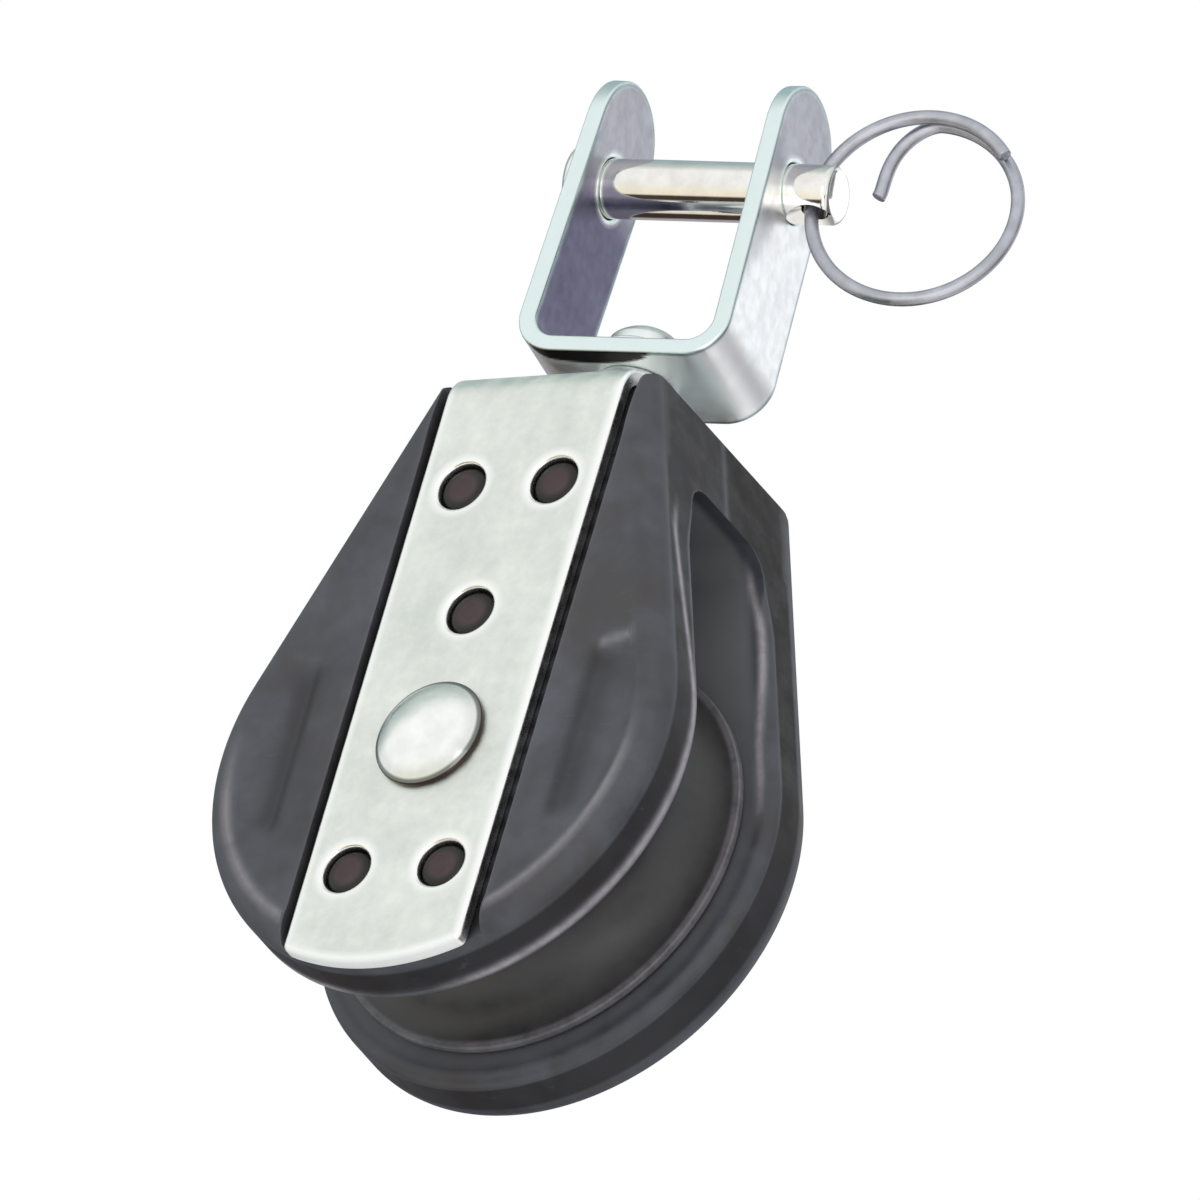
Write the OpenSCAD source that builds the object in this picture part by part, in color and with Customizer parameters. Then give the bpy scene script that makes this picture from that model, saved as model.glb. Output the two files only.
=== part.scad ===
// Single swivel sailing block: two moulded shells and a ball-bearing sheave inside an
// inverted-U steel strap, hung from a swivelling fork with a clevis pin and a split ring.
// Origin: centre of the clevis pin, midway between the fork's arms. +Z up, millimetres.
// The sheave turns about an axle that lies along Y, below the pin.

/* [Sheave and bearing] */
// Outer diameter of the sheave
sheave_d = 38; // [34:0.5:38.5]
// Radius of the rope groove in the sheave
rope_groove_r = 5.0; // [4:0.1:5.2]
// Depth of the rope groove below the sheave's rim
groove_depth = 4.5; // [3:0.1:4.8]
// Diameter of one bearing ball
ball_d = 4.4; // [4.2:0.05:4.4]
// Number of balls in the race
ball_count = 11; // [8:1:11]

/* [Shells] */
// Radius of the round lower end of a shell
shell_r = 21.6; // [21:0.1:22]
// Width of the slot between the shells
slot_w = 12.2; // [12:0.1:12.6]
// Half width of the shells at the head
head_half_w = 10.3; // [9.7:0.1:10.5]
// Rounding of a shell's outer edge
edge_r = 2.2; // [1:0.1:2.4]
// Height of the rope opening's roof above the axle
roof_z = 28.5; // [28:0.1:29]
// Depth of the D-shaped hollows in a shell's face
hollow_depth = 0.5; // [0.2:0.05:0.8]

/* [Strap] */
// Width of the strap
strap_w = 17.3; // [16:0.1:18]
// Thickness of the strap
strap_t = 1.5; // [1.5:0.1:1.6]
// Overall thickness across the strap's two legs
strap_over = 26.0; // [26:0.1:27]
// Height of the strap's top above the axle
strap_top = 36.5; // [36.5:0.1:37]
// Radius of the holes that take the shells' pegs
peg_hole_r = 2.2; // [2.1:0.05:2.3]
// Radius of the back leg's lower end about the axle
back_end_r = 19.6; // [19:0.1:20]

/* [Fork] */
// Height of the clevis pin above the axle
axle_drop = 61.3; // [61.3:0.1:66]
// Clear width of the jaw between the arms, at the pin
jaw_w = 15.0; // [13:0.1:15.2]
// Lean of each arm towards the other
arm_lean = 2; // [0:0.5:2.5]
// Width of the fork's strip
fork_w = 11.0; // [10:0.1:11.4]
// Thickness of the fork's strip
fork_t = 1.5; // [1.4:0.1:1.6]
// Angle of the fork to the strap about the swivel at rest
swivel_deg = 9; // [-90:1:90]

/* [Clevis pin and ring] */
// Diameter of the clevis pin
pin_d = 5.0; // [4.6:0.1:5]
// Diameter of the split ring's wire
wire_d = 1.2; // [0.9:0.1:1.2]
// Mean radius of the split ring
ring_r = 8.6; // [8.4:0.1:9.2]
// Angle of the ring to the pin at rest
ring_deg = 8; // [-30:1:30]

/* [Hidden] */
$fn = 96;
e = 0.01;

// --- block, heights measured from the axle ---
half = strap_over / 2;              // outer face of a strap leg
leg_in = half - strap_t;            // inner face of a strap leg
face_y = half - 0.3;                // a shell's outer face, just below the strap's
slot_y = slot_w / 2;                // a shell's inner face, at the slot
bridge_z = strap_top - strap_t;     // underside of the strap's bridge
bend_out = 3.0;                     // outside radius of the strap's bends
bend_in = bend_out - strap_t;
arc_z = 0;                          // the shells' round end is about the axle
head_z = 36.0;                      // top of the shells' shoulders
// The shells' straight sides run from the head's corner to the round end, tangentially.
hx = head_half_w;
tan_a = atan2(head_z, hx) - acos(shell_r / sqrt(hx * hx + head_z * head_z));
tan_x = shell_r * cos(tan_a);
tan_z = shell_r * sin(tan_a);
// The five pegs on each shell, as x and height from the axle
pegs = [[-4.5, 24.7], [4.5, 24.7], [0, 12.3], [-4.6, -12.6], [4.6, -12.6]];
peg_r = peg_hole_r - 0.08;
axle_r = 3.0;
// --- bearing ---
ball_r = ball_d / 2;
pitch_r = 8.2;                      // radius of the circle of ball centres
sheave_w = slot_w - 0.6;
// --- swivel, heights measured from the axle ---
shank_r = 2.6;
base_z = 42.2;                      // underside of the fork's base
top_washer_t = 0.8;
thrust_t = 0.8;
end_washer_t = 1.0;                 // washer under the stud's closed end
// --- fork, measured from the pin ---
pin_r = pin_d / 2;
base_lo = base_z - axle_drop;
arm_in = jaw_w / 2;                 // inner face of an arm, at the pin
arm_out = arm_in + fork_t / cos(arm_lean);
bend_r = 3.6;                       // outside radius of the fork's bends
bend_cz = base_lo + bend_r;
bend_cx = arm_in - bend_cz * tan(arm_lean) - (bend_r - fork_t) / cos(arm_lean);
tip_r = fork_w / 2;                 // round tips
tip_cz = 4.0;
ring_x = 11.3;                      // the cross hole in the pin
wire_r = wire_d / 2;
ring_drop = 0.3;                    // the ring hangs this far below the pin's centre
ring_cx = sqrt(ring_r * ring_r - ring_drop * ring_drop) - 0.35;

module at_axle() { translate([0, 0, -axle_drop]) children(); }
module at_fork() { rotate([0, 0, swivel_deg]) children(); }
// A cylinder along Y between two places
module ycyl(r, y0, y1) { translate([0, y1, 0]) rotate([90, 0, 0]) cylinder(r = r, h = y1 - y0); }
// A cylinder along X between two places
module xcyl(r, x0, x1) { translate([x0, 0, 0]) rotate([0, 90, 0]) cylinder(r = r, h = x1 - x0); }
// A profile drawn as [distance from the axle, place along Y], turned about Y
module turned_y() { rotate([-90, 0, 0]) rotate_extrude() children(); }
// A profile drawn as [Y, Z], pushed along X
module along_x(w) { translate([-w / 2, 0, 0]) rotate([90, 0, 90]) linear_extrude(w) children(); }
// A profile drawn as [X, Z], pushed along Y from y0 to y1
module along_y(y0, y1) { translate([0, y1, 0]) rotate([90, 0, 0]) linear_extrude(y1 - y0) children(); }
// A rectangle whose two upper corners are rounded
module arch2d(x0, x1, z0, z1, r) {
    translate([x0, z0]) square([x1 - x0, z1 - z0 - r]);
    translate([x0 + r, z0]) square([x1 - x0 - 2 * r, z1 - z0]);
    translate([x0 + r, z1 - r]) circle(r);
    translate([x1 - r, z1 - r]) circle(r);
}
// The fork's profile seen along its strip, out to a bend radius r: a base, two round
// bends and two arms that lean towards each other
module fork2d(r, up) {
    tx = bend_cx + (r - 0.004) * cos(arm_lean);
    tz = bend_cz + (r - 0.004) * sin(arm_lean);
    polygon([[-bend_cx, bend_cz - r], [bend_cx, bend_cz - r], [bend_cx, bend_cz], [tx, tz],
             [tx - up * sin(arm_lean), tz + up * cos(arm_lean)],
             [-tx + up * sin(arm_lean), tz + up * cos(arm_lean)], [-tx, tz], [-bend_cx, bend_cz]]);
    for (m = [-1, 1]) translate([m * bend_cx, bend_cz]) circle(r);
}

// ---------------- the fork and its swivel ----------------

// U-shaped fork bent from strip, with round tips and a bore through both arms
module fork() color([0.80, 0.85, 0.86]) at_fork() difference() {
    intersection() {
        along_y(-fork_w / 2, fork_w / 2) difference() {
            fork2d(bend_r, 26);
            fork2d(bend_r - fork_t, 28);
        }
        along_x(4 * arm_out) {
            translate([-fork_w / 2, base_lo - 1]) square([fork_w, tip_cz - base_lo + 1]);
            translate([0, tip_cz]) circle(tip_r);
        }
    }
    xcyl(pin_r + 0.06, -arm_out - 1, arm_out + 1);
    translate([0, 0, base_lo - 1]) cylinder(r = shank_r + 0.02, h = fork_t + 2);
}

// Swivel stud: head under the strap's bridge, collar above it, end closed over the fork
module swivel_stud() color([0.78, 0.82, 0.80]) at_fork() at_axle() {
    head_top = bridge_z - 0.06 - thrust_t - 0.04;
    rotate_extrude() {
        // shank, from the head to the closed end
        translate([0, head_top - 0.6]) square([shank_r, 47.0 - head_top]);
        // head
        translate([0, head_top - 1.6]) square([4.4, 1.6]);
        translate([0, head_top - 2.2]) square([3.8, 0.8]);
        translate([3.8, head_top - 1.6]) circle(0.6);
        // collar between the washer and the fork
        collar_lo = strap_top + 0.05 + top_washer_t + 0.05;
        translate([0, collar_lo]) square([3.4, base_z - collar_lo]);
        // closed-over end above its washer
        end_lo = base_z + fork_t + end_washer_t;
        translate([0, end_lo]) square([3.3, 1.19]);
        intersection() {
            translate([0, end_lo + 2.8 - 4.2]) circle(4.2);
            translate([0, end_lo + 1.15]) square([3.3, 4]);
        }
    }
}

// Steel washer between the fork's base and the stud's closed end
module stud_washer() color([0.82, 0.84, 0.84]) at_fork() at_axle()
    translate([0, 0, base_z + fork_t]) difference() {
        cylinder(r = 4.3, h = end_washer_t);
        translate([0, 0, -1]) cylinder(r = shank_r + 0.02, h = 3);
    }

// Clevis pin with a low head, a rounded end and a cross hole for the ring
module clevis_pin() color([0.93, 0.92, 0.88]) at_fork() difference() {
    pin_end = ring_x + 1.75;
    head_in = -arm_out - 0.35;
    rotate([0, 90, 0]) rotate_extrude() {
        translate([0, head_in - 0.5]) square([pin_r, pin_end - 0.6 - head_in + 0.5]);
        translate([0, pin_end - 1]) square([pin_r - 0.6, 1]);
        translate([pin_r - 0.6, pin_end - 0.6]) circle(0.6);
        translate([0, head_in - 0.8]) square([3.7, 0.8]);
        translate([0, head_in - 1.3]) square([3.2, 0.9]);
        translate([3.2, head_in - 0.8]) circle(0.5);
    }
    translate([ring_x, 0, -6]) cylinder(r = 1.16, h = 12);
}

// The ring's centreline: u is the angle turned from the top, in degrees. It starts at
// the free end inside the ring, goes once round through the pin and laps over itself.
function ring_rad(u) = u < 0 ? ring_r - 4.65 * pow(sin(-90 * u / 71), 1.5) : ring_r;
function ring_pt(u) = let (t = 90 - u, r = ring_rad(u))
    [ring_cx + r * cos(t), 1.3 * (270 - u) / 360, r * sin(t) - ring_drop];
function unit(v) = v / norm(v);
ring_n = 84;
ring_u = [for (i = [0:ring_n]) -71 + 481 * i / ring_n];
ring_sides = 10;
function ring_section(u) = let (
    p = ring_pt(u),
    t = unit(ring_pt(u + 0.5) - ring_pt(u - 0.5)),
    s = unit([0, 1, 0] - t * t[1]),
    b = cross(t, s))
    [for (k = [0:ring_sides - 1]) p + wire_r * (cos(360 * k / ring_sides) * s + sin(360 * k / ring_sides) * b)];

// Split ring of round spring wire, one turn and a lap, its free end turned inwards
module split_ring() color([0.62, 0.62, 0.68]) at_fork()
    translate([ring_x, 0, 0]) rotate([0, 0, ring_deg]) polyhedron(
    points = [for (u = ring_u) each ring_section(u)],
    faces = concat(
        [[for (k = [0:ring_sides - 1]) k]],
        [for (i = [0:ring_n - 1], k = [0:ring_sides - 1])
            let (a = i * ring_sides, b = (i + 1) * ring_sides, k1 = (k + 1) % ring_sides)
            [a + k, b + k, b + k1, a + k1]],
        [[for (k = [ring_sides - 1:-1:0]) ring_n * ring_sides + k]]),
    convexity = 6);

// ---------------- the block ----------------

// Inverted-U strap: two legs over the shells and a bridge for the swivel
module strap() color([0.86, 0.88, 0.85]) at_axle() difference() {
    intersection() {
        along_x(strap_w) difference() {
            arch2d(-half, half, -30, strap_top, bend_out);
            arch2d(-leg_in, leg_in, -31, bridge_z, bend_in);
        }
        union() {
            along_y(-half - 1, 0) circle(shell_r + 0.3);
            along_y(-half - 1, half + 1) translate([-strap_w / 2 - 1, -10]) square([strap_w + 2, 60]);
            along_y(-e, half + 1) circle(back_end_r);
        }
    }
    for (p = pegs) translate([p[0], 0, p[1]]) {
        ycyl(peg_hole_r, leg_in - 1, half + 1);
        ycyl(peg_hole_r, -half - 1, -leg_in + 1);
    }
    ycyl(axle_r + 0.04, -half - 1, half + 1);
    translate([0, 0, bridge_z - 2]) cylinder(r = shank_r + 0.08, h = strap_t + 4);
}

// A shell's outline, drawn in from its edge by an inset: round end and straight sides
module outline(inset) {
    translate([0, arc_z]) circle(shell_r - inset);
    k = (shell_r - inset - 0.004) / shell_r;
    polygon([[-hx + inset, head_z], [-tan_x * k, tan_z * k], [tan_x * k, tan_z * k], [hx - inset, head_z]]);
}

// The plain half body on the +Y side: a slab with a stepped outer edge and half of the head
module half_body() {
    intersection() {
        union() {
            along_y(slot_y, face_y - edge_r) outline(0);
            along_y(face_y - edge_r - e, face_y - edge_r * 0.5) outline(edge_r * 0.15);
            along_y(face_y - edge_r * 0.5 - e, face_y) outline(edge_r * 0.5);
        }
        along_x(60) arch2d(-face_y, face_y, -40, head_z, 2.7);
    }
    // half of the head, between the slot's roof and the strap's bridge
    difference() {
        along_y(0.02, slot_y + 0.5) intersection() {
            outline(0);
            translate([-30, roof_z - 3]) square([60, 20]);
        }
        along_x(70) arch2d(-slot_y, slot_y, 0, roof_z, 2.6);
    }
}

// Moulded shell with a strap channel, five pegs and two D-shaped hollows (+Y side).
// end_r is where the channel ends below the axle.
module shell(end_r) {
    difference() {
        half_body();
        // channel for the strap
        intersection() {
            along_x(strap_w + 2.0) difference() {
                translate([0, -30]) square([20, 80]);
                arch2d(-leg_in + 0.03, leg_in - 0.03, -31, bridge_z - 0.03, bend_in);
            }
            along_y(-1, 20) {
                circle(end_r);
                translate([-20, -5]) square([40, 60]);
            }
        }
        // axle hole
        ycyl(axle_r + 0.04, 0, 20);
        // pocket for the stud's head and the thrust washer
        translate([0, 0, bridge_z - 3.6]) cylinder(r = 5.3, h = 8);
        // hollows beside the strap
        for (m = [0, 1]) mirror([m, 0, 0]) along_y(face_y - hollow_depth, face_y + 1) intersection() {
            circle(shell_r - edge_r - 0.2);
            translate([13.2, -9]) square([10, 18]);
        }
    }
    for (p = pegs) translate([p[0], 0, p[1]]) turned_y() {
        translate([0, leg_in - 0.6]) square([peg_r, 1.6]);
        translate([0, leg_in - 0.6]) square([peg_r - 0.35, 1.95]);
        translate([peg_r - 0.35, leg_in + 1.0]) circle(0.35);
    }
}

module back_shell() color([0.17, 0.17, 0.18]) at_axle() shell(back_end_r + 0.6);
module front_shell() color([0.17, 0.17, 0.18]) at_axle() mirror([0, 1, 0]) shell(30);

// Plastic washer between the strap's bridge and the stud's collar
module top_washer() color([0.13, 0.13, 0.14]) at_axle()
    translate([0, 0, strap_top]) difference() {
        cylinder(r = 4.6, h = top_washer_t);
        translate([0, 0, -1]) cylinder(r = shank_r + 0.08, h = 3);
    }

// Bearing washer between the strap's bridge and the stud's head
module thrust_washer() color([0.9, 0.9, 0.86]) at_axle()
    translate([0, 0, bridge_z - 0.02 - thrust_t]) difference() {
        cylinder(r = 4.9, h = thrust_t);
        translate([0, 0, -1]) cylinder(r = shank_r + 0.08, h = 3);
    }

// Axle rivet: domed head in front, closed over its washer at the back
module axle_rivet() color([0.88, 0.89, 0.86]) at_axle() turned_y() {
    // shank
    translate([0, -half - 0.5]) square([axle_r, 2 * half + 1.6]);
    // front head: a low dome with a small square rim
    translate([0, -half - 0.45]) square([5.0, 0.45]);
    intersection() {
        translate([0, -half - 0.45 - 1.35 + 9.93]) circle(9.93);
        translate([0, -half - 3]) square([5.0, 3.0]);
    }
    // back head
    translate([0, half + 0.8]) square([4.1, 0.3]);
    intersection() {
        translate([0, half + 1.1 - 6.7 + 1.1]) circle(6.7);
        translate([0, half + 1.0]) square([4.1, 2]);
    }
}

// Washer under the rivet's closed end
module axle_end_washer() color([0.84, 0.85, 0.84]) at_axle() difference() {
    ycyl(5.4, half, half + 0.8);
    ycyl(axle_r + 0.04, half - 1, half + 2);
}

// Steel distance sleeve that keeps the shells apart on the axle
module axle_sleeve() color([0.8, 0.82, 0.82]) at_axle() difference() {
    ycyl(4.0, -slot_y, slot_y);
    ycyl(axle_r + 0.04, -slot_y - 1, slot_y + 1);
}

// Inner race with its ball track
module inner_race() color([0.85, 0.85, 0.82]) at_axle() difference() {
    ycyl(pitch_r - 0.9, -slot_y + 0.1, slot_y - 0.1);
    ycyl(4.02, -slot_y - 1, slot_y + 1);
    turned_y() translate([pitch_r, 0]) circle(ball_r + 0.03);
    // seats of the two shields
    for (s = [0, 1]) mirror([0, s, 0]) difference() {
        ycyl(12, slot_y - 1.0, slot_y + 1);
        ycyl(6.2, slot_y - 2, slot_y + 2);
    }
}

// Shield that keeps the balls in and the grit out
module race_shield() difference() {
    ycyl(pitch_r + 1.2, slot_y - 1.0, slot_y - 0.35);
    ycyl(6.22, slot_y - 2, slot_y + 2);
}
module back_race_shield() color([0.2, 0.2, 0.21]) at_axle() race_shield();
module front_race_shield() color([0.2, 0.2, 0.21]) at_axle() mirror([0, 1, 0]) race_shield();

// One row of loose balls, without a cage
module bearing_balls() color([0.93, 0.93, 0.9]) at_axle()
    for (i = [0:ball_count - 1]) rotate([0, 360 * i / ball_count, 0])
        translate([pitch_r, 0, 0]) sphere(ball_r);

// Grooved sheave with the outer ball track in its hub
module sheave() color([0.21, 0.2, 0.2]) at_axle() difference() {
    r = sheave_d / 2;
    w = sheave_w / 2;
    gr = rope_groove_r;
    turned_y() difference() {
        union() {
            translate([pitch_r + 0.9, -w + 0.35]) square([r - pitch_r - 0.9 - 0.3, 2 * w - 0.7]);
            translate([pitch_r + 0.9, -w]) square([2.6, 2 * w]);
            // a shallow step in each face, then the rim
            translate([14.5, -w]) square([r - 14.5 - 0.3, 2 * w]);
            translate([r - 0.4, -w + 0.3]) square([0.4, 2 * w - 0.6]);
            for (s = [-1, 1]) translate([r - 0.3, s * (w - 0.3)]) circle(0.3);
        }
        // rope groove
        translate([r - groove_depth + gr, 0]) circle(gr);
    }
    // room for the shields
    ycyl(pitch_r + 1.5, w - 0.95, w + 1);
    ycyl(pitch_r + 1.5, -w - 1, -w + 0.95);
    turned_y() translate([pitch_r, 0]) circle(ball_r + 0.03);
}

fork();
swivel_stud();
stud_washer();
clevis_pin();
split_ring();
strap();
front_shell();
back_shell();
top_washer();
thrust_washer();
axle_rivet();
axle_end_washer();
axle_sleeve();
inner_race();
front_race_shield();
back_race_shield();
bearing_balls();
sheave();
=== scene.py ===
import math
import bpy
import bmesh
import numpy as np
from mathutils import Vector, Matrix, noise
from mathutils.geometry import delaunay_2d_cdt

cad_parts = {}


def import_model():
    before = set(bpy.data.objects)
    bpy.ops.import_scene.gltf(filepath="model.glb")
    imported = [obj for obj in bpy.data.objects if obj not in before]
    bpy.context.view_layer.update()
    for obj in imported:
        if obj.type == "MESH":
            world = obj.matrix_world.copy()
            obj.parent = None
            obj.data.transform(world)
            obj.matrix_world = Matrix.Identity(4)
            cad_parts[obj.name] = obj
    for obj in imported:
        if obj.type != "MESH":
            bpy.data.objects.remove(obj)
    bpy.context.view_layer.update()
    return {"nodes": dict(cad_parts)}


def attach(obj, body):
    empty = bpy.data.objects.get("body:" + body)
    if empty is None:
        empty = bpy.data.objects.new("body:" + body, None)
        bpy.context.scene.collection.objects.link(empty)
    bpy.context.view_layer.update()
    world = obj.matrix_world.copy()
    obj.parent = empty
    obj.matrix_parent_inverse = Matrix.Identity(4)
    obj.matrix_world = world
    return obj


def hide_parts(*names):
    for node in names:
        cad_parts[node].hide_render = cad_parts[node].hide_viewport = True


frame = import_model()

# ---------------------------------------------------------------------------
# sizes in millimetres, as the CAD has them; heights "from the axle" have AX added
# ---------------------------------------------------------------------------
AX = -61.3                     # height of the axle in the row frame
HALF = 13.0                    # outer face of a strap leg
LEG_IN = 11.5
FACE = 12.7                    # a shell's outer face
SLOT = 6.1                     # a shell's inner face
ROOF = 28.5
STRAP_W = 17.3
STRAP_TOP = 36.5
BRIDGE = 35.0
BACK_END = 19.6                # the back leg's lower end, about the axle
SHELL_R = 21.595
HEAD_X = 10.3
HEAD_Z = 36.0
EDGE = 2.2
TA = math.atan2(HEAD_Z, HEAD_X) - math.acos(SHELL_R / math.hypot(HEAD_X, HEAD_Z))
PEGS = [(-4.5, 24.7), (4.5, 24.7), (0.0, 12.3), (-4.6, -12.6), (4.6, -12.6)]
PEG_R = 2.12
FORK_DEG = 9.0
LEAN = math.radians(2.0)
MM = 0.001


# ---------------------------------------------------------------------------
# mesh helpers
# ---------------------------------------------------------------------------
def build(name, verts, faces, node, body, mat, sharp=34, attrs=None, fork=False, merge=0.0004):
    """A mesh from points in millimetres, closed, with outward normals, riding on its body."""
    me = bpy.data.meshes.new(name)
    V = np.array([tuple(v) for v in verts], dtype=float)
    if fork:
        c, s = math.cos(math.radians(FORK_DEG)), math.sin(math.radians(FORK_DEG))
        V = np.column_stack((V[:, 0] * c - V[:, 1] * s, V[:, 0] * s + V[:, 1] * c, V[:, 2]))
    me.from_pydata([tuple(v) for v in V * MM], [], [tuple(int(i) for i in f) for f in faces])
    for key, values in (attrs or {}).items():
        a = me.attributes.new(key, "FLOAT", "POINT")
        a.data.foreach_set("value", [float(x) for x in values])
    bm = bmesh.new()
    bm.from_mesh(me)
    if merge:
        bmesh.ops.remove_doubles(bm, verts=bm.verts, dist=merge * MM)
    bmesh.ops.dissolve_degenerate(bm, edges=bm.edges, dist=1e-8)
    bmesh.ops.recalc_face_normals(bm, faces=bm.faces)
    for f in bm.faces:
        f.smooth = True
    bm.to_mesh(me)
    bm.free()
    me.set_sharp_from_angle(angle=math.radians(sharp))
    me.materials.append(mat)
    ob = bpy.data.objects.new(name, me)
    bpy.context.scene.collection.objects.link(ob)
    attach(ob, body)
    if node:
        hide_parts(node)
    return ob


def arc(cx, cy, r, a0, a1, n):
    """Points on an arc, angles in degrees, both ends kept."""
    return [(cx + r * math.cos(math.radians(a0 + (a1 - a0) * i / n)),
             cy + r * math.sin(math.radians(a0 + (a1 - a0) * i / n))) for i in range(n + 1)]


def circle(cx, cy, r, n=48, turn=0.0):
    return [(cx + r * math.cos(2 * math.pi * (i + turn) / n), cy + r * math.sin(2 * math.pi * (i + turn) / n))
            for i in range(n)]


class Plan:
    """Points and lines in a plane, made into triangles that keep the lines."""

    def __init__(self):
        self.p = []
        self.e = []

    def line(self, pts, closed=False):
        k = len(self.p)
        self.p += [tuple(q) for q in pts]
        m = len(pts)
        self.e += [(k + i, k + i + 1) for i in range(m - 1)]
        if closed:
            self.e.append((k + m - 1, k))

    def dots(self, pts):
        self.p += [tuple(q) for q in pts]

    def solve(self, keep):
        out = delaunay_2d_cdt([Vector(q) for q in self.p], self.e, [], 0, 1e-5)
        v = np.array([tuple(q) for q in out[0]])
        f = np.array([list(t) for t in out[2]])
        c = v[f].mean(axis=1)
        a, b, d = v[f[:, 0]], v[f[:, 1]], v[f[:, 2]]
        area = np.abs((b[:, 0] - a[:, 0]) * (d[:, 1] - a[:, 1]) - (b[:, 1] - a[:, 1]) * (d[:, 0] - a[:, 0]))
        ok = keep(c[:, 0], c[:, 1]) & (area > 1e-9)
        f = f[ok]
        used = np.unique(f)
        back = -np.ones(len(v), dtype=int)
        back[used] = np.arange(len(used))
        return v[used], back[f]


def two_sided(v, f, top, bottom, rows=(), mark=None):
    """A closed mesh from a plan and its two height lists, each point given in 3-D. rows are parts of
    the way from bottom to top where the walls have a line of points; mark is filled with (point, part)."""
    n = len(v)
    faces = [tuple(t) for t in f] + [tuple(t[::-1] + n) for t in f]
    verts = list(top) + list(bottom)
    seen = {}
    for t in f:
        for a, b in ((t[0], t[1]), (t[1], t[2]), (t[2], t[0])):
            seen[(a, b)] = True
    column = {}

    def stack(k):
        if k not in column:
            ids = [k + n]
            for q in rows:
                ids.append(len(verts))
                verts.append(tuple(float(bo) + (float(to) - float(bo)) * q for to, bo in zip(top[k], bottom[k])))
                if mark is not None:
                    mark.append((k, q))
            column[k] = ids + [k]
        return column[k]

    for (a, b) in list(seen):
        if (b, a) not in seen:
            ca, cb = stack(a), stack(b)
            for i in range(len(ca) - 1):
                faces.append((cb[i + 1], ca[i + 1], ca[i], cb[i]))
    return verts, faces


def seg_dist(v, poly):
    """Distance from each point to a closed polyline."""
    p = np.array(poly)
    q = np.roll(p, -1, axis=0)
    best = np.full(len(v), 1e9)
    for a, b in zip(p, q):
        d = b - a
        L = float(d @ d)
        if L < 1e-12:
            continue
        t = np.clip(((v - a) @ d) / L, 0, 1)
        w = v - (a + t[:, None] * d)
        best = np.minimum(best, np.hypot(w[:, 0], w[:, 1]))
    return best


def inside_poly(x, y, poly):
    p = np.array(poly)
    q = np.roll(p, -1, axis=0)
    hit = np.zeros(len(x), dtype=bool)
    for a, b in zip(p, q):
        if a[1] == b[1]:
            continue
        c = (a[1] > y) != (b[1] > y)
        xs = a[0] + (y - a[1]) * (b[0] - a[0]) / (b[1] - a[1])
        hit ^= c & (x < xs)
    return hit


def inset(poly, d):
    """A closed polyline (counter-clockwise) moved inwards by d."""
    p = np.array(poly)
    t = np.roll(p, -1, axis=0) - np.roll(p, 1, axis=0)
    t /= np.maximum(np.hypot(t[:, 0], t[:, 1]), 1e-12)[:, None]
    nrm = np.column_stack((-t[:, 1], t[:, 0]))
    return [tuple(q) for q in p + nrm * d]


def plate(outline, holes, t, r, extra, spacing, place, hole_r=None):
    """A strip of sheet metal with round edges, from its flat pattern. Returns points, faces and the
    distance of each point from the nearest edge."""
    plan = Plan()
    hole_r = hole_r or r
    steps = (0, 16, 32, 48, 64, 78, 90)
    for a in steps:
        plan.line(inset(outline, r * (1 - math.cos(math.radians(a)))), closed=True)
    for cx, cy, hr in holes:
        for a in steps:
            plan.line(circle(cx, cy, hr + hole_r * (1 - math.cos(math.radians(a))), 56), closed=True)
    for ln in extra:
        plan.line(ln)
    o = np.array(outline)
    lo, hi = o.min(axis=0), o.max(axis=0)
    xs, ys = np.meshgrid(np.arange(lo[0] + spacing, hi[0], spacing), np.arange(lo[1] + spacing * 0.6, hi[1], spacing))
    g = np.column_stack((xs.ravel(), ys.ravel()))
    d = seg_dist(g, outline)
    ok = inside_poly(g[:, 0], g[:, 1], outline) & (d > max(r, 0.9) + 0.3)
    for cx, cy, hr in holes:
        ok &= np.hypot(g[:, 0] - cx, g[:, 1] - cy) > hr + hole_r + 0.5
    plan.dots(g[ok])
    for k in (0.35, 0.45, 0.62, 0.95):
        if k > r + 0.05:
            plan.line(inset(outline, k), closed=True)
    for cx, cy, hr in holes:
        for k in (0.25, 0.6):
            plan.line(circle(cx, cy, hr + hole_r + k, 48, 0.5), closed=True)

    def keep(x, y):
        ok = inside_poly(x, y, outline)
        for cx, cy, hr in holes:
            ok &= np.hypot(x - cx, y - cy) > hr * math.cos(math.pi / 56) - 1e-4
        return ok

    v, f = plan.solve(keep)
    d_out = seg_dist(v, outline)
    d_hole = np.full(len(v), 1e9)
    for cx, cy, hr in holes:
        d_hole = np.minimum(d_hole, np.maximum(np.hypot(v[:, 0] - cx, v[:, 1] - cy) - hr, 0))

    def drop(d, rr):
        u = np.clip(1 - d / rr, 0, 1)
        return rr * (1 - np.sqrt(np.maximum(1 - u * u, 0)))

    h = t / 2 - np.maximum(drop(d_out, r), drop(d_hole, hole_r))
    top = [place(p[0], p[1], hh) for p, hh in zip(v, h)]
    bot = [place(p[0], p[1], -hh) for p, hh in zip(v, h)]
    verts, faces = two_sided(v, f, top, bot)
    return verts, faces, np.concatenate((d_out, d_out)), np.concatenate((d_hole, d_hole))


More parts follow.
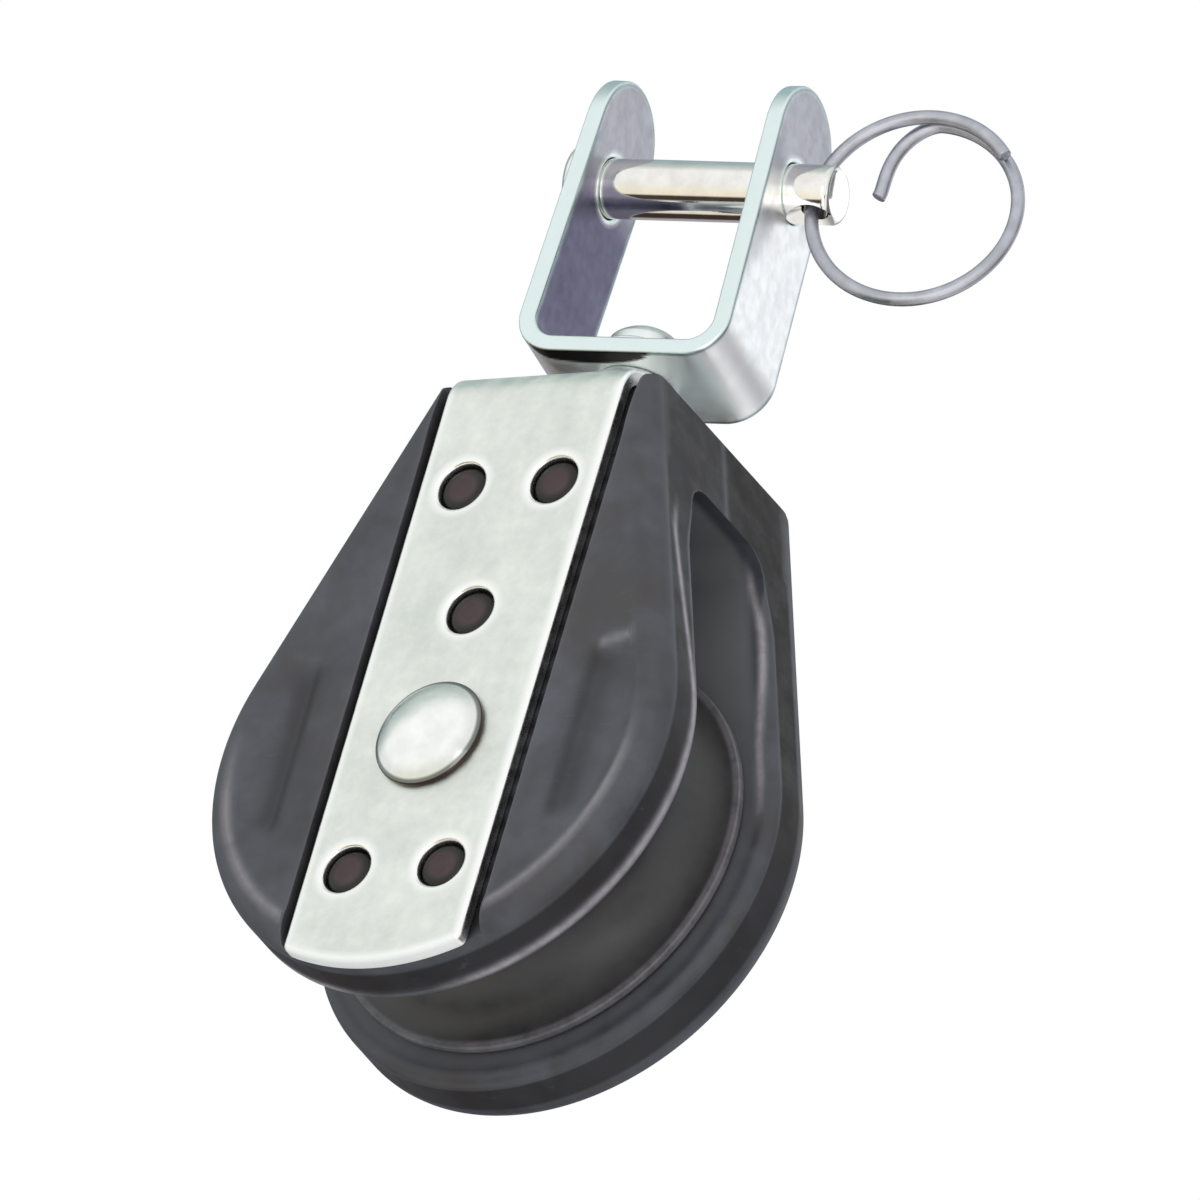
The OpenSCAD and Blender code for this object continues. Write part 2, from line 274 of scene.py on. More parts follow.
def soften(profile, radii, n=5):
    """Rounds the named corners of a profile of (radius, height) points."""
    out = []
    m = len(profile)
    for i, p in enumerate(profile):
        r = radii.get(i, 0)
        if not r or i in (0, m - 1):
            out.append(p)
            continue
        a, b, c = (np.array(profile[k], dtype=float) for k in (i - 1, i, i + 1))
        u, w = (a - b) / np.linalg.norm(a - b), (c - b) / np.linalg.norm(c - b)
        ang = math.acos(max(-1, min(1, float(u @ w))))
        if ang > 3.1:
            out.append(p)
            continue
        d = min(r / math.tan(ang / 2), 0.49 * min(np.linalg.norm(a - b), np.linalg.norm(c - b)))
        rr = d * math.tan(ang / 2)
        mid = (u + w) / np.linalg.norm(u + w)
        cen = b + mid * rr / math.sin(ang / 2)
        s, e2 = b + u * d - cen, b + w * d - cen
        a0, a1 = math.atan2(s[1], s[0]), math.atan2(e2[1], e2[0])
        while a1 - a0 > math.pi:
            a1 -= 2 * math.pi
        while a1 - a0 < -math.pi:
            a1 += 2 * math.pi
        for k in range(n + 1):
            q = a0 + (a1 - a0) * k / n
            out.append((cen[0] + rr * math.cos(q), cen[1] + rr * math.sin(q)))
    return out


def lathe(profile, axis, origin=(0, 0, 0), seg=96, ring=False):
    """Turns a profile of (radius, height) about an axis. ring closes the profile on itself."""
    verts, faces, rows = [], [], []
    ax = {"x": 0, "y": 1, "z": 2}[axis]
    others = [k for k in range(3) if k != ax]
    for r, h in profile:
        if r < 1e-6:
            q = [0.0, 0.0, 0.0]
            q[ax] = h
            rows.append([len(verts)])
            verts.append([q[k] + origin[k] for k in range(3)])
            continue
        row = []
        for i in range(seg):
            a = 2 * math.pi * i / seg
            q = [0.0, 0.0, 0.0]
            q[ax] = h
            q[others[0]] = r * math.cos(a)
            q[others[1]] = r * math.sin(a)
            row.append(len(verts))
            verts.append([q[k] + origin[k] for k in range(3)])
        rows.append(row)
    pairs = list(zip(rows, rows[1:]))
    if ring:
        pairs.append((rows[-1], rows[0]))
    for a, b in pairs:
        for i in range(seg):
            j = (i + 1) % seg
            if len(a) == 1 and len(b) == 1:
                continue
            if len(a) == 1:
                faces.append((a[0], b[j], b[i]))
            elif len(b) == 1:
                faces.append((a[i], a[j], b[0]))
            else:
                faces.append((a[i], a[j], b[j], b[i]))
    return verts, faces


# ---------------------------------------------------------------------------
# node-material helpers
# ---------------------------------------------------------------------------
class Mat:
    """A Principled material with short ways to add and join nodes."""

    def __init__(self, name):
        self.m = bpy.data.materials.new(name)
        self.m.use_nodes = True
        self.t = self.m.node_tree
        self.b = self.t.nodes["Principled BSDF"]
        self.co = self.t.nodes.new("ShaderNodeTexCoord").outputs["Object"]
        self.normal = None

    def set(self, **kw):
        names = {"rough": "Roughness", "metal": "Metallic", "base": "Base Color", "spec": "Specular IOR Level",
                 "coat": "Coat Weight", "coat_rough": "Coat Roughness", "ior": "IOR", "aniso": "Anisotropic",
                 "sheen": "Sheen Weight"}
        for k, v in kw.items():
            s = self.b.inputs[names[k]]
            if isinstance(v, bpy.types.NodeSocket):
                self.t.links.new(v, s)
            elif k == "base":
                s.default_value = (*v, 1.0)
            else:
                s.default_value = v
        return self

    def put(self, node, key, value):
        s = node.inputs[key]
        if isinstance(value, bpy.types.NodeSocket):
            self.t.links.new(value, s)
        elif s.type == "RGBA" and len(value) == 3:
            s.default_value = (*value, 1.0)
        else:
            s.default_value = value

    def math(self, op, a, b=None, c=None, clamp=False):
        n = self.t.nodes.new("ShaderNodeMath")
        n.operation = op
        n.use_clamp = clamp
        self.put(n, 0, a)
        if b is not None:
            self.put(n, 1, b)
        if c is not None:
            self.put(n, 2, c)
        return n.outputs[0]

    def vmath(self, op, a, b=None, out=0):
        n = self.t.nodes.new("ShaderNodeVectorMath")
        n.operation = op
        self.put(n, 0, a)
        if b is not None:
            self.put(n, 1, b)
        return n.outputs[out]

    def scaled(self, sx, sy, sz, rot=(0, 0, 0), vec=None, loc=(0, 0, 0)):
        n = self.t.nodes.new("ShaderNodeMapping")
        self.put(n, "Vector", vec or self.co)
        n.inputs["Scale"].default_value = (sx, sy, sz)
        n.inputs["Rotation"].default_value = rot
        n.inputs["Location"].default_value = loc
        return n.outputs[0]

    def noise(self, vec=None, scale=1.0, detail=3.0, rough=0.55, distort=0.0, out=0):
        n = self.t.nodes.new("ShaderNodeTexNoise")
        self.put(n, "Vector", vec or self.co)
        n.inputs["Scale"].default_value = scale
        n.inputs["Detail"].default_value = detail
        n.inputs["Roughness"].default_value = rough
        n.inputs["Distortion"].default_value = distort
        return n.outputs[out]

    def cells(self, vec=None, scale=1.0, feature="F1", rand=1.0):
        n = self.t.nodes.new("ShaderNodeTexVoronoi")
        n.feature = feature
        self.put(n, "Vector", vec or self.co)
        n.inputs["Scale"].default_value = scale
        n.inputs["Randomness"].default_value = rand
        return n.outputs["Distance"]

    def span(self, v, a, b, c=0.0, d=1.0, smooth=True):
        n = self.t.nodes.new("ShaderNodeMapRange")
        n.interpolation_type = "SMOOTHSTEP" if smooth else "LINEAR"
        self.put(n, "Value", v)
        n.inputs["From Min"].default_value = a
        n.inputs["From Max"].default_value = b
        n.inputs["To Min"].default_value = c
        n.inputs["To Max"].default_value = d
        return n.outputs[0]

    def ramp(self, fac, *stops):
        n = self.t.nodes.new("ShaderNodeValToRGB")
        self.put(n, "Fac", fac)
        e = n.color_ramp.elements
        while len(e) < len(stops):
            e.new(0.5)
        for k, (pos, col) in enumerate(stops):
            e[k].position = pos
            e[k].color = (*col, 1.0)
        return n.outputs[0]

    def mix(self, fac, a, b, mode="MIX"):
        n = self.t.nodes.new("ShaderNodeMix")
        n.data_type = "RGBA"
        n.blend_type = mode
        self.put(n, 0, fac)
        self.put(n, 6, a)
        self.put(n, 7, b)
        return n.outputs[2]

    def attr(self, name):
        n = self.t.nodes.new("ShaderNodeAttribute")
        n.attribute_name = name
        return n.outputs["Fac"]

    def bump(self, height, dist, strength=1.0):
        """Adds a bump of that height in millimetres."""
        n = self.t.nodes.new("ShaderNodeBump")
        n.inputs["Strength"].default_value = strength
        n.inputs["Distance"].default_value = dist * MM
        self.put(n, "Height", height)
        if self.normal is not None:
            self.put(n, "Normal", self.normal)
        self.normal = n.outputs[0]
        self.t.links.new(self.normal, self.b.inputs["Normal"])
        return self

    def radius(self, axis, origin=(0, 0, 0)):
        """Distance from an axis through origin (mm), in metres."""
        v = self.vmath("SUBTRACT", self.co, tuple(c * MM for c in origin))
        keep = {"x": (0, 1, 1), "y": (1, 0, 1), "z": (1, 1, 0)}[axis]
        return self.vmath("LENGTH", self.vmath("MULTIPLY", v, keep), out=1)

    def point(self, axis):
        n = self.t.nodes.new("ShaderNodeSeparateXYZ")
        self.put(n, 0, self.co)
        return n.outputs[{"x": 0, "y": 1, "z": 2}[axis]]


def strap_mat():
    m = Mat("pressed_stainless")
    edge = m.attr("edge")
    big = m.noise(scale=150, detail=3, rough=0.6)
    mid = m.noise(scale=620, detail=4, rough=0.65)
    fine = m.noise(scale=4200, detail=3, rough=0.7)
    tone = m.math("ADD", m.math("MULTIPLY", big, 0.45), m.math("MULTIPLY", mid, 0.55))
    col = m.ramp(tone, (0.36, (0.695, 0.74, 0.69)), (0.5, (0.79, 0.83, 0.78)), (0.64, (0.88, 0.92, 0.865)))
    # painted highlight: along the legs' lower ends the edge is made non-metallic, rough and near-white
    foot_highlight = m.attr("foot_highlight")
    # painted highlight: edges and hole rims marked by the edge attribute are painted near-white and made glossier
    m.set(base=m.mix(edge, col, (0.97, 0.98, 0.96)), metal=m.math("MULTIPLY_ADD", foot_highlight, -0.85, 1.0))
    rough = m.math("ADD", m.span(mid, 0.3, 0.7, 0.40, 0.56), m.math("MULTIPLY", edge, -0.20))
    rough = m.math("ADD", rough, m.math("MULTIPLY", foot_highlight, 0.30))
    m.set(rough=rough)
    scr = m.noise(m.scaled(900, 900, 90), detail=2)
    m.bump(mid, 0.020, 0.55)
    m.bump(fine, 0.005, 0.7)
    m.bump(m.span(scr, 0.62, 0.72), 0.003, 0.6)
    return m.m


def fork_mat():
    m = Mat("fork_stainless")
    edge = m.attr("edge")
    big = m.noise(scale=190, detail=3, rough=0.6)
    mid = m.noise(scale=800, detail=4, rough=0.6)
    fine = m.noise(scale=4600, detail=3, rough=0.7)
    # painted light and shade: the steel is a near-white copy on the outside faces and a dark purple copy on the faces
    # marked by the next attribute
    arm_shade = m.attr("arm_shade")
    col = m.ramp(m.math("ADD", m.math("MULTIPLY", big, 0.5), m.math("MULTIPLY", mid, 0.5)),
                 (0.36, (0.90, 0.93, 0.945)), (0.64, (0.99, 1.0, 1.0)))
    dark = m.ramp(m.math("ADD", m.math("MULTIPLY", big, 0.5), m.math("MULTIPLY", mid, 0.5)),
                  (0.36, (0.112, 0.107, 0.180)), (0.64, (0.162, 0.156, 0.245)))
    col = m.mix(arm_shade, col, dark)
    # painted reflection: the strip's edges and bores (the edge attribute) are tinted pale teal and made glossier
    col = m.mix(edge, col, (0.76, 0.87, 0.86))
    # painted shade: a thin dark teal line just inside the strip's edges
    col = m.mix(m.attr("rim"), col, (0.21, 0.29, 0.31))
    # painted shadow: a crescent on the underside of the U's base is painted near-black
    m.set(base=m.mix(m.attr("base_shadow"), col, (0.012, 0.009, 0.009)), metal=1.0)
    m.set(rough=m.math("ADD", m.span(mid, 0.3, 0.7, 0.34, 0.46), m.math("MULTIPLY", edge, -0.08)))
    m.bump(mid, 0.014, 0.5)
    m.bump(fine, 0.004, 0.7)
    return m.m


def nylon_mat():
    m = Mat("moulded_nylon")
    big = m.noise(scale=70, detail=3, rough=0.6, distort=0.4)
    mid = m.noise(scale=330, detail=4, rough=0.6)
    fine = m.noise(scale=5200, detail=3, rough=0.65)
    edge = m.attr("edge")
    tone = m.math("ADD", m.math("MULTIPLY", big, 0.55), m.math("MULTIPLY", mid, 0.45))
    base = m.ramp(tone, (0.34, (0.032, 0.032, 0.037)), (0.5, (0.055, 0.058, 0.071)), (0.66, (0.081, 0.087, 0.106)))
    # patches where it has weathered brown
    brown = m.noise(scale=95, detail=3, rough=0.6, distort=0.3)
    base = m.mix(m.span(brown, 0.48, 0.66, 0.0, 0.70), base, (0.046, 0.039, 0.038))
    # painted light: the slot's inner faces (the inner attribute) are painted much lighter
    base = m.mix(m.attr("inner"), base, (0.160, 0.162, 0.170))
    # painted shade: near-black, with less specular, along the hollows' straight sides, in the channel beside the strap
    # and on the side walls
    base = m.mix(m.attr("nylon_shade"), base, (0.012, 0.010, 0.010))
    # long faint scuffs from rope and handling
    sc = m.noise(m.scaled(260, 900, 1900, rot=(0.2, 0.5, 0.3)), detail=3, rough=0.7)
    scuff = m.math("MULTIPLY", m.span(sc, 0.60, 0.74), m.span(big, 0.42, 0.62))
    base = m.mix(m.math("MULTIPLY", scuff, 0.30), base, (0.10, 0.097, 0.10))
    # painted highlight: the lines marked by the edge attribute are painted light grey, patchy, and made a little
    # glossier
    sheen_lines = m.math("MULTIPLY", edge, m.span(m.noise(scale=520, detail=4, rough=0.7), 0.30, 0.62, 0.66, 1.0))
    base = m.mix(sheen_lines, base, (0.36, 0.335, 0.36))
    peg = m.attr("peg")
    # painted shadow: round each peg the nylon is painted near-black; the peg tops keep a dark reddish-brown colour of
    # their own
    base = m.mix(m.span(peg, 0.0, 0.34), base, m.ramp(peg, (0.36, (0.045, 0.022, 0.026)), (0.9, (0.004, 0.003, 0.003))))
    m.set(base=base, spec=m.math("MULTIPLY_ADD", m.attr("nylon_shade"), -0.32, 0.5))
    m.set(rough=m.math("ADD", m.span(mid, 0.3, 0.7, 0.44, 0.58), m.math("MULTIPLY", sheen_lines, -0.05)))
    m.bump(mid, 0.03, 0.35)
    m.bump(fine, 0.010, 0.7)
    return m.m


def polished_mat():
    m = Mat("ground_pin_steel")
    rad = m.noise(m.scaled(2600, 30, 30, rot=(0, 0, -math.radians(FORK_DEG))), detail=2, rough=0.6)
    wear = m.noise(scale=420, detail=4, rough=0.65)
    col = m.ramp(wear, (0.35, (0.80, 0.78, 0.74)), (0.65, (0.92, 0.905, 0.875)))
    m.set(base=col, metal=1.0, rough=m.span(wear, 0.3, 0.75, 0.06, 0.13))
    m.bump(rad, 0.004, 0.6)
    return m.m


def turned_mat(name, axis, origin, lo, hi, r0, r1, ring=1500, dist=0.004, rim_shade=None):
    """Steel turned or headed about an axis, with rings and small marks."""
    m = Mat(name)
    rad = m.radius(axis, origin)
    rings = m.noise(m.math("MULTIPLY", rad, 1.0), scale=ring, detail=2)
    v = m.t.nodes.new("ShaderNodeCombineXYZ")
    m.put(v, 0, m.math("MULTIPLY", rad, ring))
    rings = m.noise(v.outputs[0], detail=3, rough=0.6)
    mid = m.noise(scale=520, detail=4, rough=0.6)
    base = m.ramp(mid, (0.35, lo), (0.65, hi))
    # painted shade: towards the rim the steel is painted grey-green, then a dark ring, then near-black at the edge
    if rim_shade:
        base = m.mix(m.span(rad, (rim_shade[0] - 1.6) * MM, (rim_shade[0] - 0.4) * MM, 0.0, 0.40), base, (0.50, 0.54, 0.51))
        base = m.mix(m.span(rad, (rim_shade[0] - 0.36) * MM, (rim_shade[0] - 0.10) * MM), base, (0.20, 0.215, 0.20))
        base = m.mix(m.span(rad, rim_shade[0] * MM, rim_shade[1] * MM), base, (0.06, 0.045, 0.04))
    m.set(base=base, metal=1.0)
    m.set(rough=m.span(m.math("ADD", m.math("MULTIPLY", mid, 0.7), m.math("MULTIPLY", rings, 0.3)), 0.35, 0.65, r0, r1))
    m.bump(rings, dist, 0.7)
    m.bump(m.noise(scale=3800, detail=3), 0.004, 0.6)
    return m.m


def wire_mat():
    m = Mat("spring_wire")
    mid = m.noise(scale=700, detail=4, rough=0.6)
    fine = m.noise(scale=5200, detail=2)
    m.set(base=m.ramp(mid, (0.35, (0.44, 0.45, 0.50)), (0.65, (0.56, 0.57, 0.63))), metal=1.0)
    m.set(rough=m.span(mid, 0.3, 0.7, 0.38, 0.50))
    m.bump(mid, 0.006, 0.6)
    m.bump(fine, 0.003, 0.6)
    return m.m


def acetal_mat():
    m = Mat("sheave_acetal")
    rad = m.radius("y", (0, 0, AX))
    v = m.t.nodes.new("ShaderNodeCombineXYZ")
    m.put(v, 0, m.math("MULTIPLY", rad, 2600))
    m.put(v, 1, m.math("MULTIPLY", m.point("y"), 2600))
    rings = m.noise(v.outputs[0], detail=2, rough=0.6)
    mid = m.noise(scale=300, detail=4, rough=0.6)
    base = m.ramp(mid, (0.35, (0.030, 0.029, 0.031)), (0.65, (0.046, 0.045, 0.047)))
    # painted highlight: the flanges' rims are painted lighter, patchy
    rim = m.math("MULTIPLY", m.span(rad, 0.01820, 0.01860), m.span(m.noise(scale=420, detail=4, rough=0.7), 0.3, 0.62, 0.45, 1.0))
    m.set(base=m.mix(rim, base, (0.150, 0.140, 0.150)), spec=0.5)
    m.set(rough=m.span(mid, 0.3, 0.7, 0.34, 0.48))
    m.bump(rings, 0.010, 0.7)
    m.bump(m.noise(scale=2600, detail=3), 0.006, 0.5)
    return m.m


def washer_mat():
    m = Mat("washer_plastic")
    mid = m.noise(scale=520, detail=4, rough=0.6)
    m.set(base=m.ramp(mid, (0.35, (0.035, 0.035, 0.038)), (0.65, (0.058, 0.057, 0.061))), spec=0.5)
    m.set(rough=m.span(mid, 0.3, 0.7, 0.38, 0.52))
    m.bump(m.noise(scale=3000, detail=3), 0.008, 0.6)
    return m.m


STRAP = strap_mat()
FORK = fork_mat()
NYLON = nylon_mat()
PIN = polished_mat()
WIRE = wire_mat()
ACETAL = acetal_mat()
WASHER = washer_mat()
# the rivet's material paints shade towards the head's rim, and on the washer that shares it
RIVET = turned_mat("rivet_steel", "y", (0, 0, AX), (0.86, 0.875, 0.85), (0.97, 0.98, 0.95), 0.13, 0.22, rim_shade=(4.86, 4.98))
STUD = turned_mat("stud_steel", "z", (0, 0, 0), (0.78, 0.84, 0.83), (0.90, 0.94, 0.93), 0.42, 0.58)
BEARING = turned_mat("bearing_steel", "y", (0, 0, AX), (0.60, 0.60, 0.58), (0.74, 0.74, 0.71), 0.16, 0.26)
BALLS = turned_mat("ball_steel", "y", (0, 0, AX), (0.78, 0.78, 0.76), (0.86, 0.86, 0.84), 0.07, 0.12, dist=0.001)


# ---------------------------------------------------------------------------
# the strap: one strip, bent over the head and down both faces
# ---------------------------------------------------------------------------
BEND_Z = STRAP_TOP - 3.0                       # centre of the strap's bends
U1 = BEND_Z                                    # the front leg's length above the axle
U2 = U1 + 2.25 * math.pi / 2
U3 = U2 + 20.0
U4 = U3 + 2.25 * math.pi / 2


def strap_place(u, v, w):
    """The strip's place: u along it from the axle in front, v across, w out from its middle."""
    if u <= U1:
        y, z, ny, nz = -12.25, u, -1.0, 0.0
    elif u <= U2:
        a = math.pi - (u - U1) / 2.25
        ny, nz = math.cos(a), math.sin(a)
        y, z = -10 + 2.25 * ny, BEND_Z + 2.25 * nz
    elif u <= U3:
        y, z, ny, nz = -10 + (u - U2), BEND_Z + 2.25, 0.0, 1.0
    elif u <= U4:
        a = math.pi / 2 - (u - U3) / 2.25
        ny, nz = math.cos(a), math.sin(a)
        y, z = 10 + 2.25 * ny, BEND_Z + 2.25 * nz
    else:
        y, z, ny, nz = 12.25, BEND_Z - (u - U4), 1.0, 0.0
    return (v, y + ny * w, z + nz * w + AX)


def round_corners(poly, radii, n=7):
    """A closed polygon with some corners rounded, radii by index."""
    out = []
    m = len(poly)
    for i in range(m):
        a, b, c = (np.array(poly[k % m], dtype=float) for k in (i - 1, i, i + 1))
        r = radii.get(i, 0)
        if not r:
            out.append(tuple(b))
            continue
        u, w = (a - b) / np.linalg.norm(a - b), (c - b) / np.linalg.norm(c - b)
        ang = math.acos(float(u @ w))
        d = r / math.tan(ang / 2)
        cen = b + (u + w) / np.linalg.norm(u + w) * r / math.sin(ang / 2)
        s, t = b + u * d - cen, b + w * d - cen
        a0, a1 = math.atan2(s[1], s[0]), math.atan2(t[1], t[0])
        while a1 - a0 > math.pi:
            a1 -= 2 * math.pi
        while a1 - a0 < -math.pi:
            a1 += 2 * math.pi
        out += [tuple(cen + r * np.array((math.cos(a0 + (a1 - a0) * k / n), math.sin(a0 + (a1 - a0) * k / n))))
                for k in range(n + 1)]
    return out


def dense(poly, step):
    """Adds points along a closed polygon's long sides."""
    out = []
    for a, b in zip(poly, poly[1:] + poly[:1]):
        k = max(1, int(math.ceil(math.hypot(b[0] - a[0], b[1] - a[1]) / step)))
        out += [(a[0] + (b[0] - a[0]) * i / k, a[1] + (b[1] - a[1]) * i / k) for i in range(k)]
    return out


def make_strap():
    w = STRAP_W / 2 - 0.02
    R = SHELL_R + 0.285
    end_a = math.degrees(math.asin(w / R))
    front = [(-R * math.cos(math.radians(t)), -R * math.sin(math.radians(t)))
             for t in np.linspace(-end_a, end_a, 33)]          # v from +w to -w at the front end
    mid = (U2 + U3) / 2
    RB = BACK_END - 0.02
    end_b = math.degrees(math.asin(w / RB))
    back = [(2 * mid + RB * math.cos(math.radians(t)), -RB * math.sin(math.radians(t)))
            for t in np.linspace(-end_b, end_b, 33)][::-1]
    poly = front + back
    # counter-clockwise in (u, v)
    area = sum(a[0] * b[1] - b[0] * a[1] for a, b in zip(poly, poly[1:] + poly[:1]))
    if area < 0:
        poly = poly[::-1]
    corner = {i: 0.7 for i, q in enumerate(poly) if abs(abs(q[1]) - w) < 1e-6}
    # a corner's rounding must not meet the next point of the end's arc
    keep = [q for i, q in enumerate(poly) if i in corner or abs(q[1]) < w - 0.95]
    corner = {i: 0.7 for i, q in enumerate(keep) if abs(abs(q[1]) - w) < 1e-6}
    outline = dense(round_corners(keep, corner, 8), 0.7)
    holes = []
    for x, z in PEGS:
        holes.append((z, x, 2.2))
        holes.append((2 * mid - z, x, 2.2))
    holes += [(0.0, 0.0, 3.06), (2 * mid, 0.0, 3.06), (mid, 0.0, 2.68)]
    extra = []
    for lo in (U1, U3):
        for k in range(0, 13):
            u = lo + 2.25 * math.pi / 2 * k / 12
            extra.append([(u, v) for v in np.linspace(-w, w, 15)])
    v, f, do, dh = plate(outline, holes, 1.5, 0.42, extra, 1.6, strap_place, hole_r=0.40)
    # the edge attribute marks the painted highlight along the strap's outline and holes
    edge = np.maximum(np.clip(1.25 - do / 0.80, 0, 1), np.clip(1.25 - dh / 0.85, 0, 1))
    P = np.array([tuple(q) for q in v])
    far = np.hypot(P[:, 0], P[:, 2] - AX) - np.where(P[:, 1] < 0, R, RB)
    # painted highlight band along the legs' lower ends, where the steel is drawn as matt white
    foot_highlight = step((0.62 - do) / 0.12) * step((far + 0.95) / 0.4) * (P[:, 2] - AX < -15) * step((w - 0.12 - np.abs(P[:, 0])) / 0.45)
    return build("strap_plate", v, f, "strap", "block", STRAP, sharp=38, attrs={"edge": edge, "foot_highlight": foot_highlight})


# ---------------------------------------------------------------------------
# the fork: a strip with round ends, bent into a U that leans in by two degrees
# ---------------------------------------------------------------------------
F_CX = 7.5 - (-15.5) * math.tan(LEAN) - 2.1 / math.cos(LEAN)      # centre of a bend
F_CZ = -15.5
F_R = 2.85
F_ARC = F_R * (math.pi / 2 + LEAN)
F_U1 = F_CX
F_U2 = F_U1 + F_ARC
F_TX, F_TZ = F_CX + F_R * math.cos(LEAN), F_CZ + F_R * math.sin(LEAN)
F_BORE = F_U2 + (0 - F_TZ) / math.cos(LEAN)
F_TIP = F_U2 + (4.0 - F_TZ) / math.cos(LEAN)


def fork_place(u, v, w):
    s = 1 if u >= 0 else -1
    q = abs(u)
    if q <= F_U1:
        x, z, nx, nz = q, F_CZ - F_R, 0.0, -1.0
    elif q <= F_U2:
        a = -math.pi / 2 + (q - F_U1) / F_R
        nx, nz = math.cos(a), math.sin(a)
        x, z = F_CX + F_R * nx, F_CZ + F_R * nz
    else:
        t = q - F_U2
        nx, nz = math.cos(LEAN), math.sin(LEAN)
        x, z = F_TX - t * math.sin(LEAN), F_TZ + t * math.cos(LEAN)
    return (s * (x + nx * w), v, z + nz * w)


def make_fork():
    hw = 5.48
    right = arc(F_TIP, 0, hw, -90, 90, 40)
    left = [(-q[0], -q[1]) for q in right]
    outline = dense(right + left, 0.7)
    holes = [(F_BORE, 0, 2.56), (-F_BORE, 0, 2.56), (0, 0, 2.62)]
    extra = []
    for s in (-1, 1):
        for k in range(0, 15):
            u = s * (F_U1 + F_ARC * k / 14)
            extra.append([(u, v) for v in np.linspace(-hw, hw, 11)])
    extra.append([(0, v) for v in np.linspace(-hw, -3.2, 5)])
    for v in (-4.95, -4.7, -4.45, -4.2, -3.95, -3.7, -3.45):
        extra.append([(u, v) for u in np.linspace(-8.6, 3.6, 31)])
    v, f, do, dh = plate(outline, holes, 1.5, 0.26, extra, 1.5, fork_place, hole_r=0.22)
    # the edge attribute marks a painted reflection tint along the strip's edges and bores
    edge = np.maximum(np.clip(1.1 - do / 0.5, 0, 1), np.clip(1.1 - dh / 0.5, 0, 1))
    # painted light and shade: the inside faces of the U are painted dark, less so above the pin, and the outside faces
    # darker towards the tips
    P = np.array([tuple(q) for q in v])
    n = len(P) // 2
    up = np.clip((P[:, 2] + 3.0) / 4.5, 0, 1)
    up = up * up * (3 - 2 * up)
    low = np.clip((P[:, 2] + 17.9) / 0.9, 0, 1)
    inner = np.concatenate((np.zeros(n), np.ones(n)))
    arm_shade = np.where(inner > 0, low * (1.0 - 0.40 * up), 0.62 * up) * (1 - np.clip(edge * 1.3, 0, 1))
    flat = P[:, :2]
    wide = 1.75 * np.sqrt(np.clip(1 - ((flat[:, 0] + 2.5) / 5.4) ** 2, 0, 1))
    # painted shadow: a near-black crescent on the outside of the base behind its front edge; the edge tint and dark
    # line are left off there
    base_shadow = (1 - step((flat[:, 1] + 5.30 - wide + 0.15) / 0.30)) * (wide > 0.05) * (1 - inner) * (P[:, 2] < -16.4) * step((flat[:, 1] + 5.46) / 0.16)
    # painted shade: a thin dark line just inside the edges, wider on the inner faces between the base and the pin
    rim = 0.82 * np.exp(-((do - 0.31) / 0.15) ** 2)
    rim = np.where((inner > 0) & (P[:, 2] < 2) & (P[:, 2] > -17.3), np.exp(-((do - 0.40) / 0.20) ** 2), rim)
    return build("fork_strip", v, f, "fork", "fork_body", FORK, sharp=38,
                 attrs={"edge": edge * (1 - base_shadow), "arm_shade": arm_shade, "base_shadow": base_shadow,
                        "rim": rim * (1 - base_shadow)}, fork=True)


# ---------------------------------------------------------------------------
# the shells
# ---------------------------------------------------------------------------
NX, NZ = math.cos(TA), math.sin(TA)
CHAN = 9.65                    # half width of the strap's channel
MOUTH = 1.2                    # round of the slot's edge
CH_FLOOR = 11.47               # its floor
CH_TOP = 34.97


def side_distance(x, z):
    """Distance in from a shell's round end and straight sides."""
    ax = np.abs(x)
    rho = np.hypot(ax, z)
    on_line = np.arctan2(z, np.maximum(ax, 1e-9)) > TA
    return np.where(on_line, SHELL_R - (ax * NX + z * NZ), SHELL_R - rho)


def side_curve(d, top=HEAD_Z, n=64):
    """The right side's curve at a distance in, from the bottom to a height."""
    R = SHELL_R - d
    pts = [(R * math.cos(t), R * math.sin(t)) for t in np.linspace(-math.pi / 2, TA, n)]
    s_top = (top - R * NZ) / NX
    m = 22
    pts += [(R * NX - NZ * s_top * k / m, R * NZ + NX * s_top * k / m) for k in range(1, m + 1)]
    return pts


def step(v):
    v = np.clip(v, 0, 1)
    return v * v * (3 - 2 * v)


def hollow(x, z):
    """Depth of the D-shaped hollows beside the strap, and of the flank inside its raised rim."""
    ax = np.abs(x)
    rho = np.hypot(ax, z)
    dish = 0.52 * step((ax - 12.8) / 1.6) * step((19.3 - rho) / 1.9) * step((9.7 - np.abs(z)) / 3.0)
    return dish + 0.13 * step((side_distance(x, z) - 2.25) / 0.9)


